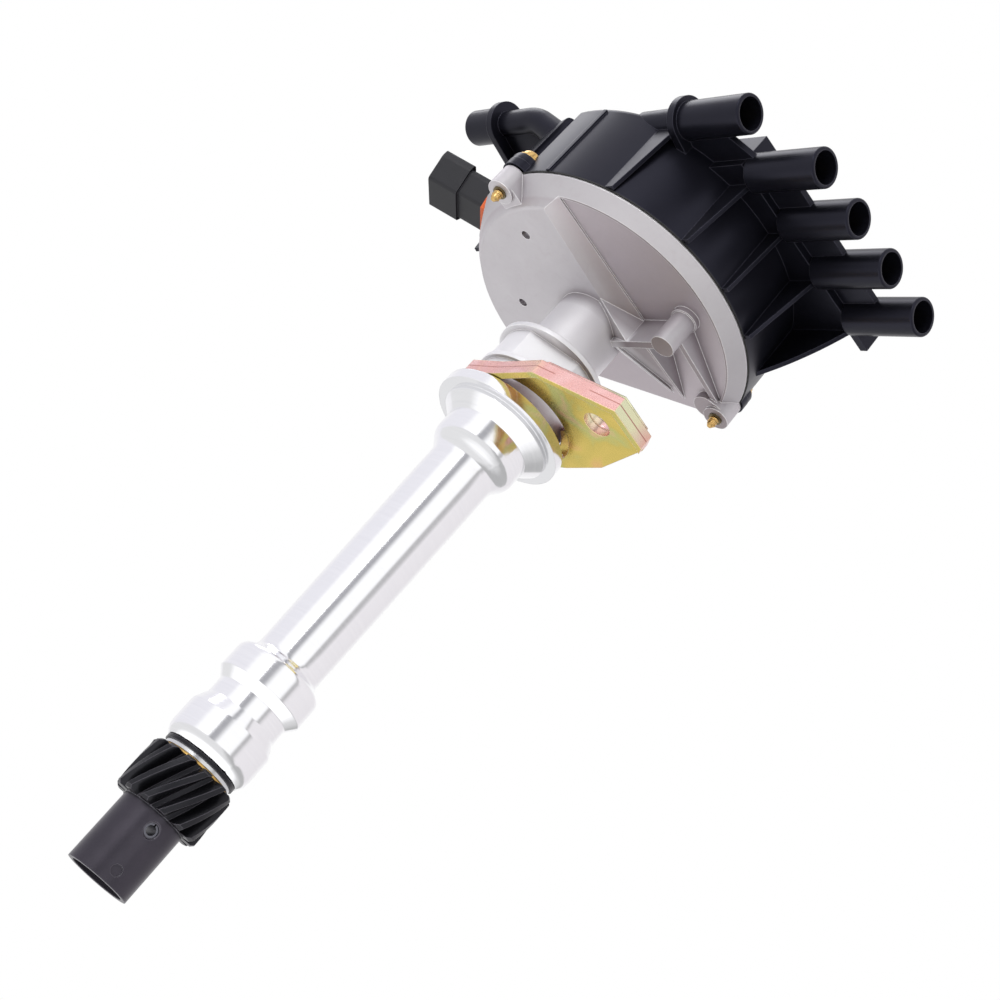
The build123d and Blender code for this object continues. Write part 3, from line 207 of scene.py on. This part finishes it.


# Cast aluminium, A380, tumbled: a dull skin with a fine pebble grain; painted shade turns it a darker
# mauve grey in the pocket, on faces looking down on the pocket side and in corners, and painted edge
# highlights, partly rubbed wear, make edges paler; turned part bright, with tool rings round it
turned_to = 4.35                # mm above the seat, as are the heights below
plate_height = 62.0
pocket_height = 66.5
pocket_reach = 57.0             # mm from the shaft axis, as is the next
neck_reach = 24.0
cast_aluminium, tree, point = start_material("cast aluminium")
place = add(tree, "ShaderNodeSeparateXYZ", Vector=point)
height = place.outputs["Z"]
flat = add(tree, "ShaderNodeVectorMath", times, _0=point, _1=(1, 1, 0))
reach = add(tree, "ShaderNodeVectorMath", {"operation": "LENGTH"}, _0=flat)
clouds = add(tree, "ShaderNodeTexNoise", Vector=point, Scale=per_mm(14), Detail=4.0)
pebbles = add(tree, "ShaderNodeTexNoise", Vector=point, Scale=per_mm(0.7), Detail=3.0, Roughness=0.65)
flow = add(tree, "ShaderNodeTexNoise", Vector=point, Scale=per_mm(4), Detail=5.0, Distortion=1.2)
skin = add(tree, "ShaderNodeMix", colour_mix, _0=clouds, _6="C6C2C6", _7="D1CED1")
flow_marks = add(tree, "ShaderNodeMapRange", Value=flow, From_Min=0.55, From_Max=0.8, To_Max=0.5)
skin = add(tree, "ShaderNodeMix", colour_mix, _0=flow_marks, _6=skin, _7="C8C2C6")

neck_skin = add(tree, "ShaderNodeMix", colour_mix, _0=clouds, _6="ECEBEE", _7="F5F4F6")
beside_neck = add(tree, "ShaderNodeMapRange", Value=reach, From_Min=neck_reach * mm,
                  From_Max=(neck_reach + 1) * mm)
above_neck = add(tree, "ShaderNodeMapRange", Value=height, From_Min=(plate_height - 6) * mm,
                 From_Max=(plate_height - 2) * mm)
off_neck = add(tree, "ShaderNodeMath", {"operation": "MAXIMUM"}, _0=beside_neck, _1=above_neck)
skin = add(tree, "ShaderNodeMix", colour_mix, _0=off_neck, _6=neck_skin, _7=skin)

# Painted shade: faces that look down on the pocket side are darkened to a mauve grey, for the shade of
# their recess.
facing = add(tree, "ShaderNodeSeparateXYZ", Vector=add(tree, "ShaderNodeNewGeometry").outputs["Normal"])
faces_down = add(tree, "ShaderNodeMapRange", Value=facing.outputs["Z"], From_Min=-0.8, From_Max=-0.95)
pocket_side = add(tree, "ShaderNodeMapRange", Value=place.outputs["X"], From_Min=14 * mm, From_Max=22 * mm)
painted_underside_shade = add(tree, "ShaderNodeMath", times, _0=faces_down, _1=pocket_side)
skin = add(tree, "ShaderNodeMix", colour_mix, _0=painted_underside_shade, _6=skin, _7="9F9699")

# Painted shade: the recessed pocket above the plate, inside the rim, is darkened to a mauve grey.
above_plate = add(tree, "ShaderNodeMapRange", Value=height, From_Min=(plate_height + 0.6) * mm,
                  From_Max=(pocket_height - 0.4) * mm)
inside_rim = add(tree, "ShaderNodeMapRange", Value=reach, From_Min=pocket_reach * mm,
                 From_Max=(pocket_reach - 0.7) * mm)
painted_pocket_shade = add(tree, "ShaderNodeMath", times, _0=above_plate, _1=inside_rim)
skin = add(tree, "ShaderNodeMix", colour_mix, _0=painted_pocket_shade, _6=skin, _7="BEB6BB")

# Painted shade: corners and creases are darkened by ambient occlusion.
openness = add(tree, "ShaderNodeAmbientOcclusion", {"samples": 8}, Distance=9 * mm).outputs["AO"]
out_of_corners = add(tree, "ShaderNodeMapRange", Value=openness, From_Min=0.25, From_Max=0.75)
skin = add(tree, "ShaderNodeMix", colour_mix, _0=out_of_corners, _6="9A9296", _7=skin)
soft_normal = add(tree, "ShaderNodeBevel", {"samples": 6}, Radius=0.45 * mm)
# Painted edge highlights, partly rubbed wear: edges turn almost white.
skin = add(tree, "ShaderNodeMix", colour_mix, _0=edge_highlight_and_wear(tree, soft_normal), _6=skin, _7="FBFAFB")

turned = add(tree, "ShaderNodeMapRange", Value=height, From_Min=(turned_to + 0.05) * mm,
             From_Max=(turned_to - 0.05) * mm)
rings = add(tree, "ShaderNodeMapping", Vector=point, Scale=(40.0, 40.0, per_mm(0.5)))
tool_rings = add(tree, "ShaderNodeTexNoise", Vector=rings, Scale=1.0, Detail=2.0)
bright = add(tree, "ShaderNodeMix", colour_mix, _0=tool_rings, _6="EFEFF2", _7="F8F8FA")
colour = add(tree, "ShaderNodeMix", colour_mix, _0=turned, _6=skin, _7=bright)
cast_rough = add(tree, "ShaderNodeMix", _0=flow, _2=0.48, _3=0.62)
turned_rough = add(tree, "ShaderNodeMix", _0=tool_rings, _2=0.10, _3=0.17)
rough = add(tree, "ShaderNodeMix", _0=turned, _2=cast_rough, _3=turned_rough)
grain = add(tree, "ShaderNodeMix", _0=turned, _2=pebbles, _3=tool_rings)
grain_strength = add(tree, "ShaderNodeMix", _0=turned, _2=0.35, _3=0.02)
bump = add(tree, "ShaderNodeBump", Strength=grain_strength, Distance=0.12 * mm, Height=grain,
           Normal=soft_normal)
surface = add(tree, "ShaderNodeBsdfPrincipled", Metallic=1.0, Base_Color=colour, Roughness=rough,
              Normal=bump)
add(tree, "ShaderNodeOutputMaterial", Surface=surface)
dress(cast_aluminium, "housing")

# ---------------------------------------------------------------- bushings
# Sintered bronze, pressed into both ends of the column: brown gold and dull, with tiny
# dark pores that hold the oil.
bronze, tree, point = start_material("sintered bronze")
distance = add(tree, "ShaderNodeTexVoronoi", Vector=point, Scale=per_mm(0.5))
off_pores = add(tree, "ShaderNodeMapRange", Value=distance, From_Min=0.08, From_Max=0.3)
colour = add(tree, "ShaderNodeMix", colour_mix, _0=off_pores, _6="5E4326", _7="B58A52")
bump = add(tree, "ShaderNodeBump", Strength=0.4, Distance=0.08 * mm, Height=off_pores)
surface = add(tree, "ShaderNodeBsdfPrincipled", Metallic=1.0, Base_Color=colour, Roughness=0.42,
              Normal=bump)
add(tree, "ShaderNodeOutputMaterial", Surface=surface)
dress(bronze, "lower_bushing", "upper_bushing")

# ---------------------------------------------------------------- brass parts
# Shim, contacts and blade are rolled or turned brass: warm yellow, polished by rolling, with
# faint darker tarnish in patches.
brass, tree, point = start_material("rolled brass")
tarnish = add(tree, "ShaderNodeTexNoise", Vector=point, Scale=per_mm(3), Detail=4.0)
colour = add(tree, "ShaderNodeMix", colour_mix, _0=tarnish, _6="E3C27C", _7="C79A4E")
rough = add(tree, "ShaderNodeMix", _0=tarnish, _2=0.2, _3=0.38)
soft_normal = add(tree, "ShaderNodeBevel", {"samples": 6}, Radius=0.1 * mm)
surface = add(tree, "ShaderNodeBsdfPrincipled", Metallic=1.0, Base_Color=colour, Roughness=rough,
              Normal=soft_normal)
add(tree, "ShaderNodeOutputMaterial", Surface=surface)
dress(brass, "brass_shim", "cap_terminals", "tower_terminals", "rotor_blade", "contact_spring",
      "connector_pins")

# The two inserts in the ears have weathered to a dull brown.
weathered, tree, point = start_material("weathered brass")
stain = add(tree, "ShaderNodeTexNoise", Vector=point, Scale=per_mm(1.5), Detail=4.0)
colour = add(tree, "ShaderNodeMix", colour_mix, _0=stain, _6="6E6148", _7="8F8468")
surface = add(tree, "ShaderNodeBsdfPrincipled", Metallic=1.0, Base_Color=colour, Roughness=0.5)
add(tree, "ShaderNodeOutputMaterial", Surface=surface)
dress(weathered, "screw_inserts")

# ---------------------------------------------------------------- shaft and small steel parts
# Ground and oiled steel: cool mid grey, with fine grinding rings round the shaft.
steel, tree, point = start_material("ground steel")
rings = add(tree, "ShaderNodeMapping", Vector=point, Scale=(60.0, 60.0, per_mm(0.35)))
grinding = add(tree, "ShaderNodeTexNoise", Vector=rings, Scale=1.0, Detail=3.0)
colour = add(tree, "ShaderNodeMix", colour_mix, _0=grinding, _6="C6C7CA", _7="DDDEE0")
rough = add(tree, "ShaderNodeMix", _0=grinding, _2=0.16, _3=0.3)
soft_normal = add(tree, "ShaderNodeBevel", {"samples": 6}, Radius=0.12 * mm)
surface = add(tree, "ShaderNodeBsdfPrincipled", Metallic=1.0, Base_Color=colour, Roughness=rough,
              Normal=soft_normal)
add(tree, "ShaderNodeOutputMaterial", Surface=surface)
dress(steel, "main_shaft", "thrust_washer", "vane_wheel", "button_spring", "rotor_screws",
      "sensor_screws")

# The roll pin is rolled from blued spring steel: dark blue grey, half bright.
blued, tree, point = start_material("blued spring steel")
stain = add(tree, "ShaderNodeTexNoise", Vector=point, Scale=per_mm(1), Detail=3.0)
colour = add(tree, "ShaderNodeMix", colour_mix, _0=stain, _6="5A5A62", _7="74747C")
soft_normal = add(tree, "ShaderNodeBevel", {"samples": 6}, Radius=0.15 * mm)
surface = add(tree, "ShaderNodeBsdfPrincipled", Metallic=0.9, Base_Color=colour, Roughness=0.32,
              Normal=soft_normal)
add(tree, "ShaderNodeOutputMaterial", Surface=surface)
dress(blued, "roll_pin")

# ---------------------------------------------------------------- drive gear
# Hobbed from bar, hardened and manganese phosphated: near black. The teeth are oiled and
# deep black, with greyer edges from painted edge highlights and some wear; the plain sleeve
# below them is a softer violet grey.
teeth_end = -181.9              # mm above the seat, where the sleeve begins
phosphate, tree, point = start_material("phosphated steel")
height = add(tree, "ShaderNodeSeparateXYZ", Vector=point).outputs["Z"]
on_sleeve = add(tree, "ShaderNodeMapRange", Value=height, From_Min=(teeth_end + 0.3) * mm,
                From_Max=(teeth_end - 0.3) * mm)
crystals = add(tree, "ShaderNodeTexNoise", Vector=point, Scale=per_mm(0.45), Detail=4.0, Roughness=0.7)
stain = add(tree, "ShaderNodeTexNoise", Vector=point, Scale=per_mm(7), Detail=3.0)
sleeve_black = add(tree, "ShaderNodeMix", colour_mix, _0=stain, _6="39363E", _7="46424B")
tooth_black = add(tree, "ShaderNodeMix", colour_mix, _0=crystals, _6="19191D", _7="2B2B30")
black = add(tree, "ShaderNodeMix", colour_mix, _0=on_sleeve, _6=tooth_black, _7=sleeve_black)
soft_normal = add(tree, "ShaderNodeBevel", {"samples": 6}, Radius=0.35 * mm)
# Painted edge highlights, partly rubbed wear: tooth edges turn greyer.
black = add(tree, "ShaderNodeMix", colour_mix, _0=edge_highlight_and_wear(tree, soft_normal), _6=black, _7="65626A")
rough = add(tree, "ShaderNodeMix", _0=crystals, _2=0.26, _3=0.42)
bump = add(tree, "ShaderNodeBump", Strength=0.25, Distance=0.06 * mm, Height=crystals, Normal=soft_normal)
surface = add(tree, "ShaderNodeBsdfPrincipled", Metallic=0.7, Base_Color=black, Roughness=rough,
              Normal=bump)
add(tree, "ShaderNodeOutputMaterial", Surface=surface)
dress(phosphate, "drive_gear", "spacer_washer")

# ---------------------------------------------------------------- hold-down clamp
# Pressed from 3 mm steel sheet, zinc plated and passivated in yellow chromate. The film is
# thin enough to shine in clouds of olive, gold, pink and green.
bend_height = 8.0               # mm above the seat, where the lip is bent down from the plate
band_y = -22.5                  # mm, beyond which a wall is the long outer band
nose_x = 53.0                   # mm, beyond which a wall belongs to the nose
plated, tree, point = start_material("yellow zinc plate")
film = add(tree, "ShaderNodeTexNoise", Vector=point, Scale=per_mm(22), Detail=2.5, Distortion=0.8)
face_colours = add(tree, "ShaderNodeValToRGB", Fac=film, stops=(
    (0.26, "EFAE92"), (0.36, "EBBC78"), (0.46, "E0C667"), (0.58, "D6C062"), (0.68, "C6C478"),
    (0.78, "EBBE96")))
wall_colours = add(tree, "ShaderNodeValToRGB", Fac=film, stops=(
    (0.30, "EBB4AC"), (0.45, "EEC4C2"), (0.60, "E3B0AC"), (0.75, "F0C8B2")))

place = add(tree, "ShaderNodeSeparateXYZ", Vector=point)
clouded_y = add(tree, "ShaderNodeMath", {"operation": "MULTIPLY_ADD"}, _0=film, _1=9 * mm,
                _2=place.outputs["Y"])
across_nose = add(tree, "ShaderNodeMapRange", Value=clouded_y, From_Min=-8 * mm, From_Max=13 * mm)
end_colours = add(tree, "ShaderNodeValToRGB", Fac=across_nose, stops=(
    (0.0, "F0F3CC"), (0.62, "F0EDC4"), (0.82, "EDD2BC"), (1.0, "EBB0A4")))
facing = add(tree, "ShaderNodeSeparateXYZ", Vector=add(tree, "ShaderNodeNewGeometry").outputs["Normal"])
on_end = add(tree, "ShaderNodeMapRange", Value=facing.outputs["X"], From_Min=0.6, From_Max=0.8)
walls = add(tree, "ShaderNodeMix", colour_mix, _0=on_end, _6=wall_colours, _7=end_colours)

folded = add(tree, "ShaderNodeMath", {"operation": "PINGPONG"}, _0=place.outputs["Z"],
             _1=bend_height * mm)
at_bend = add(tree, "ShaderNodeMapRange", Value=folded, From_Min=(bend_height - 0.3) * mm,
              From_Max=(bend_height - 0.1) * mm)
on_band = add(tree, "ShaderNodeMapRange", Value=place.outputs["Y"], From_Min=band_y * mm,
              From_Max=(band_y - 0.5) * mm)
on_nose = add(tree, "ShaderNodeMapRange", Value=place.outputs["X"], From_Min=nose_x * mm,
              From_Max=(nose_x + 1) * mm)
outside = add(tree, "ShaderNodeMath", {"operation": "MAXIMUM"}, _0=on_band, _1=on_nose)
bend_line = add(tree, "ShaderNodeMath", times, _0=outside, _1=at_bend)
walls = add(tree, "ShaderNodeMix", colour_mix, _0=bend_line, _6=walls, _7="B87E76")

upright = add(tree, "ShaderNodeMath", {"operation": "ABSOLUTE"}, _0=facing.outputs["Z"])
on_wall = add(tree, "ShaderNodeMapRange", Value=upright, From_Min=0.8, From_Max=0.4)
colour = add(tree, "ShaderNodeMix", colour_mix, _0=on_wall, _6=face_colours, _7=walls)
soft_normal = add(tree, "ShaderNodeBevel", {"samples": 6}, Radius=0.5 * mm)
# Painted edge highlights, partly rubbed wear: edges turn pale gold.
colour = add(tree, "ShaderNodeMix", colour_mix, _0=edge_highlight_and_wear(tree, soft_normal), _6=colour, _7="F3D6B0")
brush = add(tree, "ShaderNodeTexNoise", Vector=point, Scale=per_mm(0.6), Detail=3.0)
rough = add(tree, "ShaderNodeMix", _0=brush, _2=0.22, _3=0.34)
bump = add(tree, "ShaderNodeBump", Strength=0.1, Distance=0.05 * mm, Height=brush, Normal=soft_normal)
surface = add(tree, "ShaderNodeBsdfPrincipled", Metallic=1.0, Base_Color=colour, Roughness=rough,
              Normal=bump)
add(tree, "ShaderNodeOutputMaterial", Surface=surface)
dress(plated, "hold_down_clamp")


def finish_piece(piece, material, body_name):
    """Links a new piece, gives it its material and its body."""
    scene.collection.objects.link(piece)
    piece.data.materials.append(material)
    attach(piece, body_name)


# A second plate is spot welded on top, set back from the edges. A tab of it lies close to the
# neck on the far side, and it doubles the depth of the bolt hole.
upper_low = 11.0                # mm above the seat
upper_thickness = 3.0
edge_round = 0.3
bolt_hole = (46.4, 0.0, 5.3)    # x, y and radius
tab_slot_r = 21.0               # where the tab follows the neck
open_slot_x = 6.5               # centre of the rest of the slot
open_slot_r = 21.6              # just clear of the fork's own slot
outer_corners = ((14.5, -21.6), (33.0, -22.9), (61.5, -8.6), (63.2, 5.6), (59.5, 8.4), (34.0, 18.2),
                 (14.0, 20.4), (10.0, 20.6))


def around(centre_x, centre_y, radius, angle):
    """Point at a radius in mm and an angle in degrees round a centre."""
    return (centre_x + radius * math.cos(math.radians(angle)),
            centre_y + radius * math.sin(math.radians(angle)))


slot_edge = [around(0, 0, tab_slot_r, angle) for angle in range(58, 21, -3)]
slot_edge += [around(open_slot_x, 0, open_slot_r, angle) for angle in range(17, -60, -4)]
hole_edge = [around(*bolt_hole, 7.5 * step) for step in range(48)]
plate = bpy.data.curves.new("clamp_upper_plate", "CURVE")
plate.dimensions = "2D"
plate.fill_mode = "BOTH"
plate.extrude = (upper_thickness / 2 - edge_round) * mm
plate.bevel_depth = edge_round * mm
plate.bevel_resolution = 2
plate.offset = -edge_round * mm
for outline in (list(outer_corners) + slot_edge, hole_edge):
    spline = plate.splines.new("POLY")
    spline.points.add(len(outline) - 1)
    for corner, (x, y) in zip(spline.points, outline):
        corner.co = (x * mm, y * mm, 0, 1)
    spline.use_cyclic_u = True
upper_plate = bpy.data.objects.new("clamp_upper_plate", plate)
upper_plate.location.z = (upper_low + upper_thickness / 2) * mm
finish_piece(upper_plate, plated, "clamp_body")

# ---------------------------------------------------------------- cap screws
# Self-cutting flanged screws in the same yellow chromate, but a thicker film: clear gold. They
# go down through the cap's ears, and their threaded tips come out under those of the bowl.
gold, tree, point = start_material("gold chromate")
film = add(tree, "ShaderNodeTexNoise", Vector=point, Scale=per_mm(2.5), Detail=3.0)
colour = add(tree, "ShaderNodeMix", colour_mix, _0=film, _6="E8C98A", _7="C99A55")
rough = add(tree, "ShaderNodeMix", _0=film, _2=0.2, _3=0.32)
soft_normal = add(tree, "ShaderNodeBevel", {"samples": 6}, Radius=0.25 * mm)
surface = add(tree, "ShaderNodeBsdfPrincipled", Metallic=1.0, Base_Color=colour, Roughness=rough,
              Normal=soft_normal)
add(tree, "ShaderNodeOutputMaterial", Surface=surface)


def turned_mesh(name, centres, profile, segments=40):
    """Mesh turned from a profile of (radius, height) in mm round an upright line at each centre."""
    mesh = bpy.data.meshes.new(name)
    shape = bmesh.new()
    for x, y in centres:
        rings = []
        for radius, z in profile:
            count = segments if radius else 1
            points = [around(x, y, radius, 360 * step / segments) for step in range(count)]
            rings.append([shape.verts.new(Vector((*point, z)) * mm) for point in points])
        for low, high in zip(rings, rings[1:]):
            for step in range(segments):
                after = (step + 1) % segments
                corners = [low[step % len(low)], low[after % len(low)], high[after % len(high)],
                           high[step % len(high)]]
                shape.faces.new(list(dict.fromkeys(corners)))
    return mesh, shape


def cut_thread(shape, centres, radius, low, high, pitch, depth, steps=20):
    """Adds the ridge of a screw thread round each centre, between two heights in mm."""
    root = radius - 0.1
    half = pitch * 0.32
    for x, y in centres:
        rows = []
        for step in range(round((high - low) / pitch * steps) + 1):
            angle = 360 * step / steps
            z = low + pitch * step / steps
            rows.append([shape.verts.new(Vector((*around(x, y, r, angle), h)) * mm)
                         for r, h in ((root, z - half), (radius + depth, z), (root, z + half))])
        for first, second in zip(rows, rows[1:]):
            for side in range(3):
                after = (side + 1) % 3
                shape.faces.new((first[side], second[side], second[after], first[after]))
        shape.faces.new(rows[0])
        shape.faces.new(rows[-1][::-1])


def close_mesh(mesh, shape, smooth_angle=35):
    """Writes the mesh, with faces turned outwards and only blunt edges shaded smooth."""
    bmesh.ops.recalc_face_normals(shape, faces=shape.faces)
    for face in shape.faces:
        face.smooth = True
    for edge in shape.edges:
        if len(edge.link_faces) == 2 and edge.calc_face_angle() > math.radians(smooth_angle):
            edge.smooth = False
    shape.to_mesh(mesh)
    shape.free()


ear_places = ((62.2, -98.8), (59.1, 50.9))      # reach in mm and azimuth in degrees
ears = [around(0, 0, reach, azimuth) for reach, azimuth in ear_places]
seat_height = 79.2              # mm above the seat of the engine, top of the cap's ears
tip_height = 57.4
shank_r = 1.6
screw_profile = [(0, tip_height), (0.9, tip_height + 0.1), (shank_r, tip_height + 1.2),
                 (shank_r, seat_height)]
screw_profile += [(radius, seat_height + rise) for radius, rise in (
    (4.9, 0), (5.1, 0.2), (5.1, 0.7), (4.8, 1.0), (4.3, 1.1), (4.3, 2.6), (3.9, 3.5), (3.0, 4.1),
    (1.7, 4.4), (1.5, 4.3), (1.3, 2.4), (0, 2.3))]
mesh, shape = turned_mesh("cap_screw_set", ears, screw_profile)
cut_thread(shape, ears, shank_r, low=58.8, high=66.0, pitch=1.2, depth=0.35)
close_mesh(mesh, shape)
screw_set = bpy.data.objects.new("cap_screw_set", mesh)
finish_piece(screw_set, gold, "housing_body")
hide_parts("cap_screws")

# ---------------------------------------------------------------- cap
# Moulded in one shot from glass-filled black polyester: blue black with a satin skin, a very
# fine grain, flow clouds in the gloss, and pale lines along fins and lips that are painted edge
# highlights, partly rubbed wear.
polyester, tree, point = start_material("moulded black polyester")
flow = add(tree, "ShaderNodeTexNoise", Vector=point, Scale=per_mm(18), Detail=4.0, Distortion=0.6)
grain = add(tree, "ShaderNodeTexNoise", Vector=point, Scale=per_mm(0.6), Detail=3.0)
soft_normal = add(tree, "ShaderNodeBevel", {"samples": 6}, Radius=0.4 * mm)
black = add(tree, "ShaderNodeMix", colour_mix, _0=flow, _6="0D0D12", _7="131319")
# Painted edge highlights, partly rubbed wear: fins and lips get pale grey lines.
black = add(tree, "ShaderNodeMix", colour_mix, _0=edge_highlight_and_wear(tree, soft_normal), _6=black, _7="3E3E46")
rough = add(tree, "ShaderNodeMix", _0=flow, _2=0.26, _3=0.38)
bump = add(tree, "ShaderNodeBump", Strength=0.12, Distance=0.05 * mm, Height=grain, Normal=soft_normal)
surface = add(tree, "ShaderNodeBsdfPrincipled", Base_Color=black, Roughness=rough, Normal=bump,
              Specular_IOR_Level=0.32, Specular_Tint="DADAFF")
add(tree, "ShaderNodeOutputMaterial", Surface=surface)
dress(polyester, "cap")

# The cap's ears end in round bosses, moulded with them, that the screw heads pull down on.
boss_r = 5.9
boss_low = 75.6
bore_r = 1.9
boss_profile = ((bore_r, boss_low), (boss_r, boss_low), (boss_r, seat_height - 0.8),
                (boss_r - 0.25, seat_height - 0.25), (boss_r - 0.8, seat_height), (bore_r, seat_height),
                (bore_r, boss_low))
mesh, shape = turned_mesh("cap_ear_bosses", ears, boss_profile)
bmesh.ops.remove_doubles(shape, verts=shape.verts, dist=0.001 * mm)
close_mesh(mesh, shape)
bosses = bpy.data.objects.new("cap_ear_bosses", mesh)
finish_piece(bosses, polyester, "housing_body")

# ---------------------------------------------------------------- rotor, sensor and connector
# Glass-filled nylon, black and matt: greyer than the cap, with a fine spark-eroded grain.
nylon, tree, point = start_material("glass-filled nylon")
grain = add(tree, "ShaderNodeTexNoise", Vector=point, Scale=per_mm(0.5), Detail=4.0)
soft_normal = add(tree, "ShaderNodeBevel", {"samples": 6}, Radius=0.3 * mm)
black = add(tree, "ShaderNodeMix", colour_mix, _0=grain, _6="1C1C20", _7="26262B")
# Painted edge highlights, partly rubbed wear: edges turn a paler grey.
black = add(tree, "ShaderNodeMix", colour_mix, _0=edge_highlight_and_wear(tree, soft_normal), _6=black, _7="45454A")
rough = add(tree, "ShaderNodeMix", _0=grain, _2=0.42, _3=0.55)
bump = add(tree, "ShaderNodeBump", Strength=0.2, Distance=0.05 * mm, Height=grain, Normal=soft_normal)
surface = add(tree, "ShaderNodeBsdfPrincipled", Base_Color=black, Roughness=rough, Normal=bump,
              Specular_IOR_Level=0.4)
add(tree, "ShaderNodeOutputMaterial", Surface=surface)
dress(nylon, "rotor", "cam_sensor", "sensor_connector", "carbon_button")

# ---------------------------------------------------------------- seals
# The cap gasket and the shaft seal are black nitrile rubber, the sensor's seal is silicone
# in a strong orange, both dull with a slight bloom.
rubber, tree, point = start_material("nitrile rubber")
bloom = add(tree, "ShaderNodeTexNoise", Vector=point, Scale=per_mm(2), Detail=4.0)
colour = add(tree, "ShaderNodeMix", colour_mix, _0=bloom, _6="151515", _7="242424")
surface = add(tree, "ShaderNodeBsdfPrincipled", Base_Color=colour, Roughness=0.7)
add(tree, "ShaderNodeOutputMaterial", Surface=surface)
dress(rubber, "cap_gasket", "shaft_seal")

silicone, tree, point = start_material("orange silicone")
bloom = add(tree, "ShaderNodeTexNoise", Vector=point, Scale=per_mm(2), Detail=3.0)
colour = add(tree, "ShaderNodeMix", colour_mix, _0=bloom, _6="D85A26", _7="E0703C")
surface = add(tree, "ShaderNodeBsdfPrincipled", Base_Color=colour, Roughness=0.42, Subsurface_Weight=0.1,
              Subsurface_Radius=(2 * mm, 1 * mm, 0.6 * mm))
add(tree, "ShaderNodeOutputMaterial", Surface=surface)
dress(silicone, "sensor_seal")

# The seal's lip is squeezed out between the bowl and the connector and shows as an orange line.
sensor_azimuth = math.radians(217.5)
sensor_offset = 7.6             # mm sideways from the line through the shaft axis
lip_from, lip_to = 57.3, 61.2   # mm from the shaft axis
lip_out, lip_in = 0.1, 1.6      # the connector's outside, drawn in by these
section_low, section_middle, section_high = 71.2, 80.7, 84.6
section_half_low, section_half = 8.0, 12.5
outward = Vector((math.cos(sensor_azimuth), math.sin(sensor_azimuth), 0))
sideways = Vector((-outward.y, outward.x, 0))


def connector_section(inset):
    """Six corners of the connector's section, drawn in by inset: across and height, in mm."""
    low, high = section_low + inset, section_high - inset
    half_low, half = section_half_low - inset / 2, section_half - inset
    return ((-half_low, low), (half_low, low), (half, section_middle), (half, high), (-half, high),
            (-half, section_middle))


mesh = bpy.data.meshes.new("sensor_seal_lip")
shape = bmesh.new()
loops = []
for reach, inset in ((lip_from, lip_in), (lip_from, lip_out), (lip_to, lip_out), (lip_to, lip_in)):
    corners = [outward * reach + sideways * (sensor_offset + across) + Vector((0, 0, z))
               for across, z in connector_section(inset)]
    loops.append([shape.verts.new(corner * mm) for corner in corners])
for near, far in zip(loops, loops[1:] + loops[:1]):
    for corner in range(6):
        after = (corner + 1) % 6
        shape.faces.new((near[corner], near[after], far[after], far[corner]))
bmesh.ops.bevel(shape, geom=shape.edges[:], offset=0.35 * mm, segments=2, profile=0.5, affect="EDGES")
close_mesh(mesh, shape)
seal_lip = bpy.data.objects.new("sensor_seal_lip", mesh)
finish_piece(seal_lip, silicone, "housing_body")
